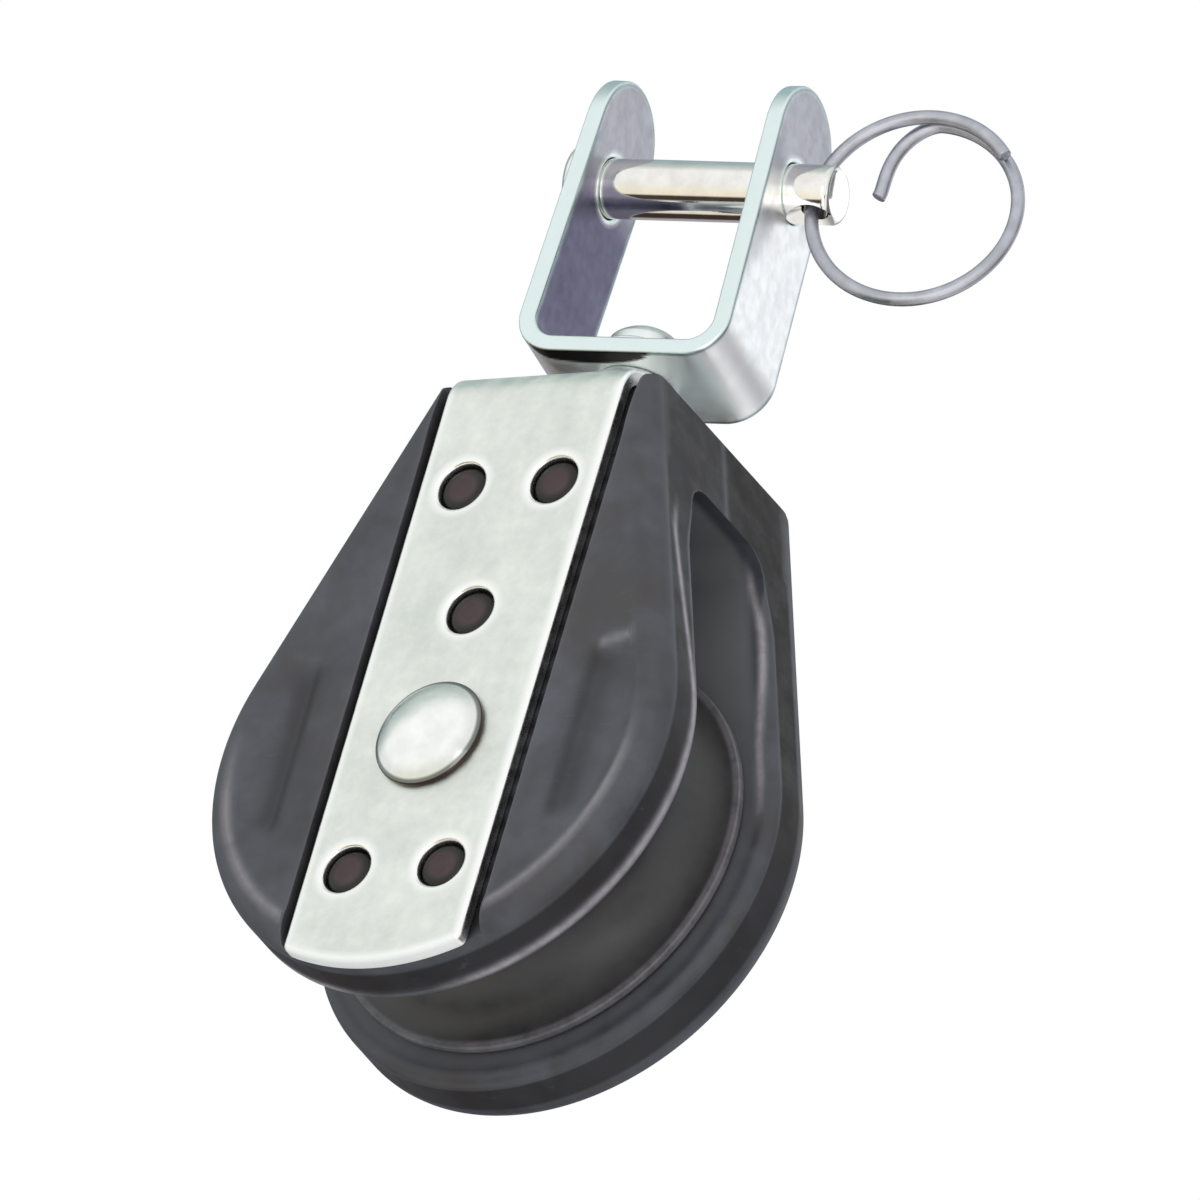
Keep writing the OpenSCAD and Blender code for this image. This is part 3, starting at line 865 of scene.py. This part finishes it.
def make_shell(name, node, sign):
    plan = Plan()
    fil = [EDGE * (1 - math.cos(math.radians(a))) for a in (0, 12, 24, 36, 48, 58, 68, 78, 90)]
    right = side_curve(0.0)
    outline = [(-q[0], q[1]) for q in right[::-1]] + right[1:]        # from top left, round the bottom, to top right
    # the head's top edge, with the strap's channel in it
    notch = [(CHAN + 0.32, HEAD_Z), (CHAN, HEAD_Z)] + [(x, CH_TOP) for x in np.linspace(CHAN, -CHAN, 25)] \
        + [(-CHAN, HEAD_Z), (-CHAN - 0.32, HEAD_Z)]
    domain = outline + notch
    plan.line(domain, closed=True)
    for d in fil[1:] + [3.1]:
        r = side_curve(d)
        plan.line([(-q[0], q[1]) for q in r[::-1]] + r[1:])
    # the channel's two sides, each a pair of lines close together
    low = -math.sqrt(SHELL_R ** 2 - CHAN ** 2) + 0.001
    lip = BACK_END + 0.6 if sign > 0 else None
    for s in (-1, 1):
        for x in (CHAN, CHAN + 0.05, CHAN + 0.16, CHAN + 0.32):
            top = HEAD_Z - max(x - HEAD_X, 0) / math.tan(TA) - 0.03
            plan.line([(s * x, z) for z in np.linspace(low + (x - CHAN) + 0.02, top, 60)])
    if lip:
        a_lip = math.degrees(math.acos((CHAN + 0.4) / lip))
        for r in (lip, lip + 0.05, lip + 0.16, lip + 0.32):
            plan.line(arc(0, 0, r, -90 - (90 - a_lip), -90 + (90 - a_lip), 40))
    # rounding of the shoulders and of the channel's head
    for b in (0, 15, 30, 45, 60, 75, 84):
        z = (HEAD_Z - 2.7) + 2.7 * math.sin(math.radians(b))
        plan.line([(x, z) for x in np.linspace(CHAN + 0.01, 11.0, 5)])
        plan.line([(-x, z) for x in np.linspace(CHAN + 0.01, 11.0, 5)])
        z = (CH_TOP - 1.5) + 1.5 * math.sin(math.radians(b))
        plan.line([(x, z) for x in np.linspace(-CHAN, CHAN, 23)])
    # the slot's roof, rounded where it meets the slot, and the stud's pocket
    for b in (0, 18, 36, 54, 72, 84, 90):
        z = (ROOF - 2.6) + 2.6 * math.sin(math.radians(b))
        plan.line([(x, z) for x in np.linspace(-14, 14, 19)])
    plan.line([(x, ROOF + 0.02) for x in np.linspace(-14, 14, 19)])
    for z in (31.38, 31.42):
        plan.line([(x, z) for x in np.linspace(-6, 6, 13)])
    for x in (-5.3, -5.2, -4.9, -4.4, -3.6, -2.4, 0, 2.4, 3.6, 4.4, 4.9, 5.2, 5.3):
        plan.line([(x, z) for z in np.linspace(31.38, CH_TOP, 6)])
    # the slot's lower edge is broken by a small round
    rim = [MOUTH * (1 - math.cos(math.radians(a))) for a in (0, 6, 11, 17, 28, 42, 56, 70, 90)]
    for d in rim[1:]:
        r = side_curve(d, top=ROOF - 0.4)
        plan.line([(-q[0], q[1]) for q in r[::-1]] + r[1:])
    # pegs, axle hole
    for px_, pz_ in PEGS:
        for r in (0.6, 0.85, 1.1, 1.45, 1.62, 1.78, 1.92, 2.04, PEG_R, PEG_R + 0.015, 2.6):
            plan.line(circle(px_, pz_, r, 40), closed=True)
        plan.dots([(px_, pz_)])
    for r in (3.04, 3.3, 4.2):
        plan.line(circle(0, 0, r, 48), closed=True)
    # a fine grid round the crescents, a wider one elsewhere
    gx, gz = np.meshgrid(np.arange(12.7, 19.6, 0.36), np.arange(-10.2, 10.3, 0.42))
    gx = gx + (np.arange(gx.shape[0])[:, None] % 2) * 0.18
    g = np.column_stack((gx.ravel(), gz.ravel()))
    g = g[(side_distance(g[:, 0], g[:, 1]) > 2.35)]
    plan.dots(g)
    plan.dots(g * np.array((-1, 1)))
    for d in (2.45, 2.75):
        r = side_curve(d)
        plan.line([(-q[0], q[1]) for q in r[::-1]] + r[1:])
    xs, zs = np.meshgrid(np.arange(-20, 20.1, 1.25), np.arange(-20.3, 35, 1.2))
    xs = xs + (np.arange(xs.shape[0])[:, None] % 2) * 0.6
    g = np.column_stack((xs.ravel(), zs.ravel()))
    rho = np.hypot(g[:, 0], g[:, 1])
    ok = (side_distance(g[:, 0], g[:, 1]) > 3.4) & (np.abs(np.abs(g[:, 0]) - CHAN) > 0.7) & (rho > 4.6) \
        & ~((np.abs(g[:, 0]) > 12.3) & (np.abs(g[:, 1]) < 10.5)) & (g[:, 1] < 33.0)
    for px_, pz_ in PEGS:
        ok &= np.hypot(g[:, 0] - px_, g[:, 1] - pz_) > 3.0
    plan.dots(g[ok])

    def keep(x, z):
        return inside_poly(x, z, domain) & (np.hypot(x, z) > 3.04 * math.cos(math.pi / 48) - 1e-4)

    v, f = plan.solve(keep)
    x, z = v[:, 0], v[:, 1]
    d = side_distance(x, z)
    u = np.clip(1 - d / EDGE, 0, 1)
    out = FACE - EDGE * (1 - np.sqrt(np.maximum(0, 1 - u * u)))
    out = out - hollow(x, z) * (np.abs(x) > CHAN + 0.02)
    # broken edge beside the strap
    ax = np.abs(x)
    beside = (ax > CHAN) & (ax < CHAN + 0.31) & ((np.hypot(x, z) < lip + 0.2) | (z > 0) if lip else True)
    out = out - np.where(beside, 0.16 * (1 - np.sqrt(np.maximum(0, 1 - (1 - (ax - CHAN) / 0.32) ** 2))), 0)
    arch = np.where(z > HEAD_Z - 2.7, (FACE - 2.7) + np.sqrt(np.maximum(0, 2.7 ** 2 - (z - (HEAD_Z - 2.7)) ** 2)), 99)
    out = np.minimum(out, arch)
    chan = ax < CHAN + 0.02
    rho = np.hypot(x, z)
    if lip:
        chan &= (rho < lip + 0.02) | (z > 0)
        out = out - np.where((rho > lip) & (rho < lip + 0.31) & (z < 0) & (ax < CHAN + 0.02),
                             0.16 * (1 - np.sqrt(np.maximum(0, 1 - (1 - (rho - lip) / 0.32) ** 2))), 0)
    floor = np.full(len(v), CH_FLOOR)
    floor = np.where(z > CH_TOP - 1.5, (CH_FLOOR - 1.5) + np.sqrt(np.maximum(0, 1.5 ** 2 - (z - (CH_TOP - 1.5)) ** 2)), floor)
    out = np.where(chan, np.minimum(out, floor), out)
    # the peg attribute's outer part carries the painted shadow round each peg
    peg = np.zeros(len(v))
    for px_, pz_ in PEGS:
        r = np.hypot(x - px_, z - pz_)
        top = 12.62 - 0.04 * (r / PEG_R) ** 2
        k = np.clip((r - 1.45) / (PEG_R - 1.45), 0, 1)
        top = top - 0.60 * (1 - np.sqrt(np.maximum(0, 1 - k * k)))
        top = top - 0.16 * step((1.1 - r) / 0.5)
        out = np.where(r < PEG_R + 0.007, top, out)
        peg = np.maximum(peg, np.where(r < 2.55, 0.35 + 0.65 * step((r - 1.0) / 0.8), 0))
    inn = np.full(len(v), SLOT)
    inn = np.where(z > ROOF - 2.6, (SLOT - 2.6) + np.sqrt(np.maximum(0, 2.6 ** 2 - (z - (ROOF - 2.6)) ** 2)), inn)
    inn = np.where(z > ROOF + 0.01, 0.003, inn)
    mouth = MOUTH * (1 - step((z - 21.0) / 5.5)) + 0.02
    k = np.clip(1 - d / mouth, 0, 1)
    inn = np.where(z < ROOF - 0.01, inn + mouth * (1 - np.sqrt(np.maximum(0, 1 - k * k))), inn)
    pocket = (z > 31.40) & (ax < 5.3)
    inn = np.where(pocket, np.sqrt(np.maximum(0.02 ** 2, 5.3 ** 2 - x * x)), inn)
    out = np.maximum(out, inn + 0.3)
    top = [(a, sign * b, c + AX) for a, b, c in zip(x, out, z)]
    bot = [(a, sign * b, c + AX) for a, b, c in zip(x, inn, z)]
    wall = []
    verts, faces = two_sided(v, f, top, bot, rows=(0.03, 0.07, 0.12, 0.18, 0.25, 0.32, 0.39, 0.46, 0.53, 0.60, 0.68, 0.76, 0.88), mark=wall)
    # painted highlights: light lines along the slot's edge, fainter along the flank's rim and the channel's edge, and
    # at the top of the hollows
    e_out = 0.50 * np.exp(-((d - 2.15) / 0.46) ** 2) * step((3.0 - z) / 9.0) * (ax > CHAN + 0.3)
    top_d = 0.45 * np.exp(-((z - 9.15 + 0.22 * (16.5 - ax)) / 0.46) ** 2) * step((ax - 13.3) / 0.8) * step((17.4 - ax) / 1.2)
    # the painted highlight at the top of the hollows is kept faint on the left side
    top_d = top_d * np.where(x > 0, 1.0, 0.15)
    e_out = np.maximum(e_out, top_d)
    # painted shade: dark bands along the straight side of each hollow
    nylon_shade = 0.50 * np.exp(-((ax - 13.6) / 0.75) ** 2) * step((9.0 - np.abs(z)) / 2.0)
    nylon_shade = np.maximum(nylon_shade, 0.40 * np.exp(-((ax - 14.6) / 1.3) ** 2) * step((8.4 - np.abs(z)) / 2.0))
    # painted shadow: the channel floor beside the strap is painted near-black
    gap = 0.92 * step((ax - 8.0) / 0.5) * step(d / 1.5) * chan
    e_chan = 0.08 * np.exp(-((ax - CHAN - 0.16) / 0.16) ** 2)
    along = mouth * np.arccos(np.clip(1 - d / mouth, 0, 1)) + np.maximum(0, d - mouth)
    if sign < 0:
        tall = step((25.5 - z) / 5.0) * np.where(z < 0, 0.12 + 0.88 * step((ax - 2.5) / 6.0), 1.0)
        off = 2.3 * step((z - 2.0) / 24.0)
    else:
        tall = step((28.5 - z) / 3.0) * step((z - 1.0) / 6.0)
        off = -2.0 + 0.75 * step((z - 8.0) / 12.0)
    wide = 0.34 + 0.14 * step((10.0 - z) / 14.0)
    e_in = np.exp(-((along + off) / wide) ** 2) * tall * (z < ROOF - 0.5)
    # painted light on the slot's inner faces, stronger towards the roof
    inside = (0.42 + 0.58 * step((z - 5.0) / 15.0)) * step((d - 0.9) / 1.2) * (z < ROOF + 0.05)
    near = np.array([k for k, q in wall])
    part = np.array([q for k, q in wall])
    e_wall = np.exp(-((part * (out - inn)[near] - off[near]) / wide[near]) ** 2) * tall[near] * ((ax[near] > 5.5) | (z[near] < 20)) * (d[near] < 0.01)
    # painted shade: the side walls are darkened, on the back shell less towards the bottom
    low_wall = (0.76 if sign < 0 else 0.68 + 0.30 * step((z[near] + 4.0) / 10.0)) * np.clip(part / 0.05, 0, 1) * step((1 - part) / 0.12) * ((ax[near] > 5.5) | (z[near] < 20))
    edge = np.concatenate((np.maximum(e_out, e_chan), e_in, e_wall))
    return build(name, verts, faces, node, "block", NYLON, sharp=36,
                 attrs={"edge": edge, "peg": np.concatenate((peg, np.zeros(len(v) + len(wall)))),
                        "nylon_shade": np.concatenate((np.where(ax > CHAN + 0.3, nylon_shade, gap), np.zeros(len(v)), low_wall)),
                        "inner": np.concatenate((np.zeros(len(v)), inside, np.zeros(len(wall))))})


# ---------------------------------------------------------------------------
# turned pieces
# ---------------------------------------------------------------------------
def dome(r_sphere, r_from, h_top, n=10, down=False):
    """Points on a cap of a sphere, from its edge at r_from to its top at height h_top."""
    a0 = math.asin(r_from / r_sphere)
    s = -1 if down else 1
    return [(r_sphere * math.sin(a0 * (1 - k / n)), h_top - s * r_sphere * (1 - math.cos(a0 * (1 - k / n))))
            for k in range(n + 1)]


def make_turned():
    A = (0, 0, AX)
    # axle rivet, from its closed end behind to its domed head in front
    p = [(0, 15.2)] + dome(6.7, 4.1, 15.2)[::-1][1:] + [(4.1, 13.82), (3.0, 13.82), (3.0, -13.0), (5.0, -13.0), (5.0, -13.45)]
    i_rim = len(p) - 1
    p += dome(9.93, 4.98, -14.8, 14, down=True)[1:]
    p[-1] = (0.0, p[-1][1])
    p = soften(p, {i_rim: 0.16, i_rim - 1: 0.05}, 4)
    v, f = lathe(p, "y", A, 112)
    build("axle_rivet_body", v, f, "axle_rivet", "block", RIVET, sharp=40)
    # its washer
    p = soften([(3.06, 13.02), (5.38, 13.02), (5.38, 13.79), (3.06, 13.79)] * 1, {1: 0.06, 2: 0.22}, 5)
    v, f = lathe(p, "y", A, 96, ring=True)
    build("axle_washer", v, f, "axle_end_washer", "block", RIVET, sharp=40)
    # swivel stud, from its head under the bridge to its closed end over the fork
    p = [(0, 31.92), (3.9, 31.92), (4.38, 32.4), (4.38, 34.06), (2.6, 34.06), (2.6, 37.42), (3.4, 37.42), (3.4, 42.18),
         (2.6, 42.18), (2.6, 44.72), (3.28, 44.72), (3.28, 45.84)]
    k = len(p) - 1
    p += dome(4.18, 3.26, 47.46, 12)[1:]
    p[-1] = (0.0, p[-1][1])
    p = soften(p, {1: 0.3, 2: 0.3, 3: 0.25, 6: 0.25, 7: 0.2, 10: 0.12, k: 0.35}, 5)
    v, f = lathe(p, "z", A, 96)
    build("swivel_stud_body", v, f, "swivel_stud", "fork_body", STUD, sharp=40)
    # washers on the swivel
    for name, node, body, slot, mat, r0, r1, lo, hi, rr in (
            ("stud_washer_ring", "stud_washer", "fork_body", "stud_steel", STUD, 2.63, 4.28, 43.71, 44.69, 0.30),
            ("top_washer_ring", "top_washer", "block", "washer_plastic", WASHER, 2.69, 4.58, 36.52, 37.29, 0.22)):
        p = soften([(r0, lo), (r1, lo), (r1, hi), (r0, hi)], {1: rr * 0.6, 2: rr}, 5)
        v, f = lathe(p, "z", A, 96, ring=True)
        build(name, v, f, node, body, mat, sharp=40)
    # sheave
    w = 5.8
    groove = []
    cr, gr = 19.5, 5.0                                   # groove's centre and radius
    y_edge = math.sqrt(gr * gr - (cr - 19.0) ** 2)
    a_edge = math.degrees(math.atan2(y_edge, -(cr - 19.0)))
    for k in range(0, 25):
        a = math.radians(a_edge + (360 - 2 * a_edge) * k / 24)
        groove.append((cr + gr * math.cos(a), gr * math.sin(a)))
    bore = []
    tr = 2.23
    a_lo = math.degrees(math.asin((9.1 - 8.2) / tr))
    for k in range(0, 13):
        a = math.radians(-(90 - a_lo) + (180 - 2 * a_lo) * k / 12)
        bore.append((8.2 + tr * math.cos(a), tr * math.sin(a)))
    p = [(9.1, -w + 0.95), (9.7, -w + 0.95), (9.7, -w), (11.7, -w), (11.7, -w + 0.35), (14.5, -w + 0.35), (14.5, -w), (19.0, -w)]
    half = list(p)
    prof = half + [q for q in groove[::-1]] + [(r, -y) for r, y in half[::-1]] + bore[::-1]
    n = len(half)
    m = len(groove)
    rad = {2: 0.15, 3: 0.15, 4: 0.12, 5: 0.12, 6: 0.15, 7: 0.28, n: 0.22}
    tot = n + m + n
    rad.update({tot - 1 - i: r for i, r in rad.items()})
    prof = soften(prof, rad, 5)
    v, f = lathe(prof, "y", A, 128, ring=True)
    build("sheave_wheel", v, f, "sheave", "sheave_body", ACETAL, sharp=40)


def cut(ob, cutter):
    """Takes a cutter away from an object, in place, and removes the cutter."""
    md = ob.modifiers.new("cut", "BOOLEAN")
    md.operation = "DIFFERENCE"
    md.solver = "EXACT"
    md.object = cutter
    bpy.context.view_layer.update()
    dg = bpy.context.evaluated_depsgraph_get()
    me = bpy.data.meshes.new_from_object(ob.evaluated_get(dg))
    old = ob.data
    ob.modifiers.remove(md)
    ob.data = me
    bpy.data.meshes.remove(old)
    bpy.data.objects.remove(cutter)


def make_pin():
    head_in = -9.35
    p = [(0, head_in - 1.28), (3.2, head_in - 1.28), (3.68, head_in - 0.8), (3.68, head_in), (2.5, head_in), (2.5, 13.03), (0, 13.03)]
    p = soften(p, {1: 0.5, 2: 0.5, 3: 0.12, 5: 0.6}, 7)
    v, f = lathe(p, "x", (0, 0, 0), 112)
    ob = build("clevis_pin_body", v, f, "clevis_pin", "pin", PIN, sharp=40, fork=True)
    # cross hole with broken edges
    r, hr, c = 2.5, 1.16, 0.22
    prof = [(0, -6), (hr + 1.6, -6), (hr + 1.6, -r - 0.35), (hr, -r + 1.0 - 0.15), (hr, r - 1.0 + 0.15), (hr + 1.6, r + 0.35), (hr + 1.6, 6), (0, 6)]
    v, f = lathe(prof, "z", (0, 0, 0), 48)
    a = math.radians(FORK_DEG)
    me = bpy.data.meshes.new("cutter")
    me.from_pydata([((q[0] + 11.3 * math.cos(a)) * MM, (q[1] + 11.3 * math.sin(a)) * MM, q[2] * MM) for q in v], [], f)
    bm = bmesh.new()
    bm.from_mesh(me)
    bmesh.ops.recalc_face_normals(bm, faces=bm.faces)
    bm.to_mesh(me)
    bm.free()
    cutter = bpy.data.objects.new("cutter", me)
    bpy.context.scene.collection.objects.link(cutter)
    cut(ob, cutter)
    me = ob.data
    bm = bmesh.new()
    bm.from_mesh(me)
    bmesh.ops.remove_doubles(bm, verts=bm.verts, dist=1e-7)
    bmesh.ops.dissolve_degenerate(bm, edges=bm.edges, dist=1e-8)
    for fc in bm.faces:
        fc.smooth = True
    bm.to_mesh(me)
    bm.free()
    me.set_sharp_from_angle(angle=math.radians(36))
    return ob


# ---------------------------------------------------------------------------
# the split ring
# ---------------------------------------------------------------------------
def ring_at(u):
    r = 8.6 - 4.65 * math.sin(math.radians(-90 * u / 71)) ** 1.5 if u < 0 else 8.6
    t = math.radians(90 - u)
    cx = math.sqrt(8.6 ** 2 - 0.09) - 0.35
    return Vector((cx + r * math.cos(t), 1.3 * (270 - u) / 360, r * math.sin(t) - 0.3))


def make_ring():
    sides, n = 20, 384
    wr = 0.588
    verts, faces = [], []
    yaw = Matrix.Rotation(math.radians(8.0), 4, "Z")
    rows = []
    caps = [(0.0, 0.0, 0.62), (0.06, 0.045, 0.86), (0.17, 0.17, 1.0)]     # broken edges at the wire's ends
    us = [-71 + 481 * i / n for i in range(n + 1)]
    stations = [(u, 1.0) for u in us[1:-1]]
    stations = [(-71.0, 0.70), (-70.7, 0.90), (-70.1, 1.0)] + [s for s in stations if -69.6 < s[0] < 408.8] \
        + [(409.3, 1.0), (409.75, 0.90), (410.0, 0.70)]
    for u, k in stations:
        p = ring_at(u)
        t = (ring_at(u + 0.3) - ring_at(u - 0.3)).normalized()
        s = (Vector((0, 1, 0)) - t * t.y).normalized()
        b = t.cross(s)
        row = []
        for j in range(sides):
            a = 2 * math.pi * j / sides
            q = p + wr * k * (math.cos(a) * s + math.sin(a) * b)
            q = yaw @ q + Vector((11.3, 0, 0))
            row.append(len(verts))
            verts.append(tuple(q))
        rows.append(row)
    for a, b in zip(rows, rows[1:]):
        for j in range(sides):
            j1 = (j + 1) % sides
            faces.append((a[j], b[j], b[j1], a[j1]))
    faces.append(tuple(rows[0]))
    faces.append(tuple(rows[-1][::-1]))
    return build("split_ring_wire", verts, faces, "split_ring", "ring", WIRE, sharp=40, fork=True)


make_strap()
make_fork()
make_shell("front_shell_moulding", "front_shell", -1)
make_shell("back_shell_moulding", "back_shell", 1)
make_turned()
make_pin()
make_ring()
for node_name, mat in (("inner_race", BEARING), ("axle_sleeve", BEARING), ("bearing_balls", BALLS),
                       ("front_race_shield", WASHER), ("back_race_shield", WASHER), ("thrust_washer", WASHER)):
    ob = frame["nodes"][node_name]
    ob.data.materials.clear()
    ob.data.materials.append(mat)


# ---------------------------------------------------------------------------
# stage, light and camera
# ---------------------------------------------------------------------------
def soft_light(name, direction, distance, size, power, colour, target=(0.0, 0.0, -0.048)):
    d = Vector(direction).normalized()
    la = bpy.data.lights.new(name, "AREA")
    la.shape = "SQUARE"
    la.size = size
    la.energy = power
    la.color = colour
    ob = bpy.data.objects.new(name, la)
    ob.location = Vector(target) + d * distance
    ob.rotation_euler = (-d).to_track_quat("-Z", "Y").to_euler()
    bpy.context.scene.collection.objects.link(ob)
    return ob


def floor():
    me = bpy.data.meshes.new("floor")
    me.from_pydata([(-9, -9, -1.9), (9, -9, -1.9), (9, 9, -1.9), (-9, 9, -1.9)], [], [(0, 1, 2, 3)])
    m = bpy.data.materials.new("pale_floor")
    m.use_nodes = True
    b = m.node_tree.nodes["Principled BSDF"]
    b.inputs["Base Color"].default_value = (0.86, 0.86, 0.86, 1)
    b.inputs["Roughness"].default_value = 0.9
    me.materials.append(m)
    ob = bpy.data.objects.new("floor", me)
    bpy.context.scene.collection.objects.link(ob)
    ob.visible_glossy = False


def world():
    w = bpy.data.worlds.new("studio")
    bpy.context.scene.world = w
    w.use_nodes = True
    t = w.node_tree
    t.nodes.clear()
    out = t.nodes.new("ShaderNodeOutputWorld")
    co = t.nodes.new("ShaderNodeTexCoord").outputs["Generated"]

    def math_node(op, a, b=None, c=None):
        n = t.nodes.new("ShaderNodeMath")
        n.operation = op
        for key, v in enumerate((a, b, c)):
            if isinstance(v, bpy.types.NodeSocket):
                t.links.new(v, n.inputs[key])
            elif v is not None:
                n.inputs[key].default_value = v
        return n.outputs[0]

    def ramp(fac, stops):
        n = t.nodes.new("ShaderNodeValToRGB")
        t.links.new(fac, n.inputs[0])
        e = n.color_ramp.elements
        while len(e) < len(stops):
            e.new(0.5)
        for k, (deg, col) in enumerate(stops):
            e[k].position = (deg + 180) / 360
            e[k].color = (*col, 1)
        return n.outputs[0]

    # the studio as seen by the object: bands that run from side to side, by their angle above the
    # front horizon (0 in front, 90 overhead, 180 behind, -90 below)
    sep = t.nodes.new("ShaderNodeSeparateXYZ")
    t.links.new(co, sep.inputs[0])
    ang = math_node("ARCTAN2", sep.outputs["Z"], math_node("MULTIPLY", sep.outputs["Y"], -1.0))
    fac = math_node("MULTIPLY_ADD", ang, 1 / (2 * math.pi), 0.5)
    left = ramp(fac, [(-180, (0.40, 0.40, 0.45)), (-166, (0.34, 0.30, 0.30)), (-160, (0.05, 0.035, 0.03)),
                      (-128, (0.05, 0.035, 0.03)), (-122, (0.86, 0.80, 0.68)), (-100, (0.95, 0.93, 0.86)),
                      (-69, (0.92, 0.90, 0.82)), (-64, (0.06, 0.045, 0.04)), (-50, (0.06, 0.045, 0.04)),
                      (-45, (1.0, 0.92, 0.74)), (-20, (1.0, 0.98, 0.88)), (0, (1.0, 1.0, 1.0)), (48, (1.0, 1.0, 1.0)),
                      (66, (0.62, 0.68, 0.66)), (88, (0.42, 0.50, 0.50)), (108, (0.34, 0.48, 0.51)),
                      (125, (0.34, 0.40, 0.44)), (150, (0.32, 0.32, 0.37)), (180, (0.40, 0.40, 0.45))])
    right = ramp(fac, [(-180, (0.80, 0.80, 0.84)), (-150, (0.98, 0.98, 0.98)), (-100, (0.95, 0.94, 0.92)),
                       (-67, (0.92, 0.90, 0.84)), (-60, (0.20, 0.16, 0.14)), (-51, (0.20, 0.16, 0.14)),
                       (-45, (1.0, 0.96, 0.86)), (0, (1.0, 1.0, 1.0)), (70, (1.0, 1.0, 1.0)),
                       (108, (0.66, 0.74, 0.77)), (125, (0.90, 0.93, 0.96)), (150, (1.30, 1.32, 1.35)),
                       (180, (0.80, 0.80, 0.84))])
    side = t.nodes.new("ShaderNodeMapRange")
    side.interpolation_type = "SMOOTHSTEP"
    t.links.new(sep.outputs["X"], side.inputs["Value"])
    side.inputs["From Min"].default_value = -0.22
    side.inputs["From Max"].default_value = 0.12
    mx0 = t.nodes.new("ShaderNodeMix")
    mx0.data_type = "RGBA"
    t.links.new(side.outputs[0], mx0.inputs[0])
    t.links.new(left, mx0.inputs[6])
    t.links.new(right, mx0.inputs[7])
    # a dark flag behind on the far right keeps the side walls low
    far = t.nodes.new("ShaderNodeMapRange")
    far.interpolation_type = "SMOOTHSTEP"
    t.links.new(sep.outputs["X"], far.inputs["Value"])
    far.inputs["From Min"].default_value = 0.40
    far.inputs["From Max"].default_value = 0.62
    rear = t.nodes.new("ShaderNodeMapRange")
    rear.interpolation_type = "SMOOTHSTEP"
    t.links.new(sep.outputs["Y"], rear.inputs["Value"])
    rear.inputs["From Min"].default_value = 0.20
    rear.inputs["From Max"].default_value = 0.50
    flag = t.nodes.new("ShaderNodeMix")
    flag.data_type = "RGBA"
    t.links.new(math_node("MULTIPLY", math_node("MULTIPLY", far.outputs[0], rear.outputs[0]), 1.0), flag.inputs[0])
    t.links.new(mx0.outputs[2], flag.inputs[6])
    flag.inputs[7].default_value = (0.16, 0.14, 0.14, 1)
    sky = flag.outputs[2]
    bg = t.nodes.new("ShaderNodeBackground")
    t.links.new(sky, bg.inputs[0])
    bg.inputs[1].default_value = 1.0
    white = t.nodes.new("ShaderNodeBackground")
    white.inputs[0].default_value = (1, 1, 1, 1)
    white.inputs[1].default_value = 1.0
    lp = t.nodes.new("ShaderNodeLightPath")
    mx = t.nodes.new("ShaderNodeMixShader")
    t.links.new(lp.outputs["Is Camera Ray"], mx.inputs[0])
    t.links.new(bg.outputs[0], mx.inputs[1])
    t.links.new(white.outputs[0], mx.inputs[2])
    t.links.new(mx.outputs[0], out.inputs[0])


def camera():
    R = Vector((0.8387, 0.4835, 0.2506)).normalized()
    U = Vector((0.0578, -0.5366, 0.8419))
    U = (U - R * U.dot(R)).normalized()
    B = R.cross(U)
    P0 = Vector((0, -13.0, AX))
    centre = P0 + 13.844 * R + 11.115 * U
    dist = 600.0
    cam = bpy.data.cameras.new("camera")
    cam.type = "ORTHO"
    cam.ortho_scale = 0.09838
    cam.clip_start = 0.05
    cam.clip_end = 20.0
    ob = bpy.data.objects.new("camera", cam)
    bpy.context.scene.collection.objects.link(ob)
    m = Matrix((R, U, B)).transposed().to_4x4()
    m.translation = (centre + B * dist) * MM
    ob.matrix_world = m
    bpy.context.scene.camera = ob


floor()
world()
camera()
key = soft_light("key", (-0.9, -0.1, 1.6), 0.9, 0.7, 0.6, (1.0, 0.99, 0.97))
key.visible_glossy = False       # it lights the nylon, and isn't mirrored in the rivet
soft_light("front", (0.45, -1.0, -0.25), 1.1, 0.6, 1.2, (1.0, 1.0, 1.0))
soft_light("under", (0.60, -0.45, -0.68), 1.0, 0.5, 1.3, (1.0, 0.98, 1.0))
bpy.context.scene.view_settings.view_transform = "Standard"
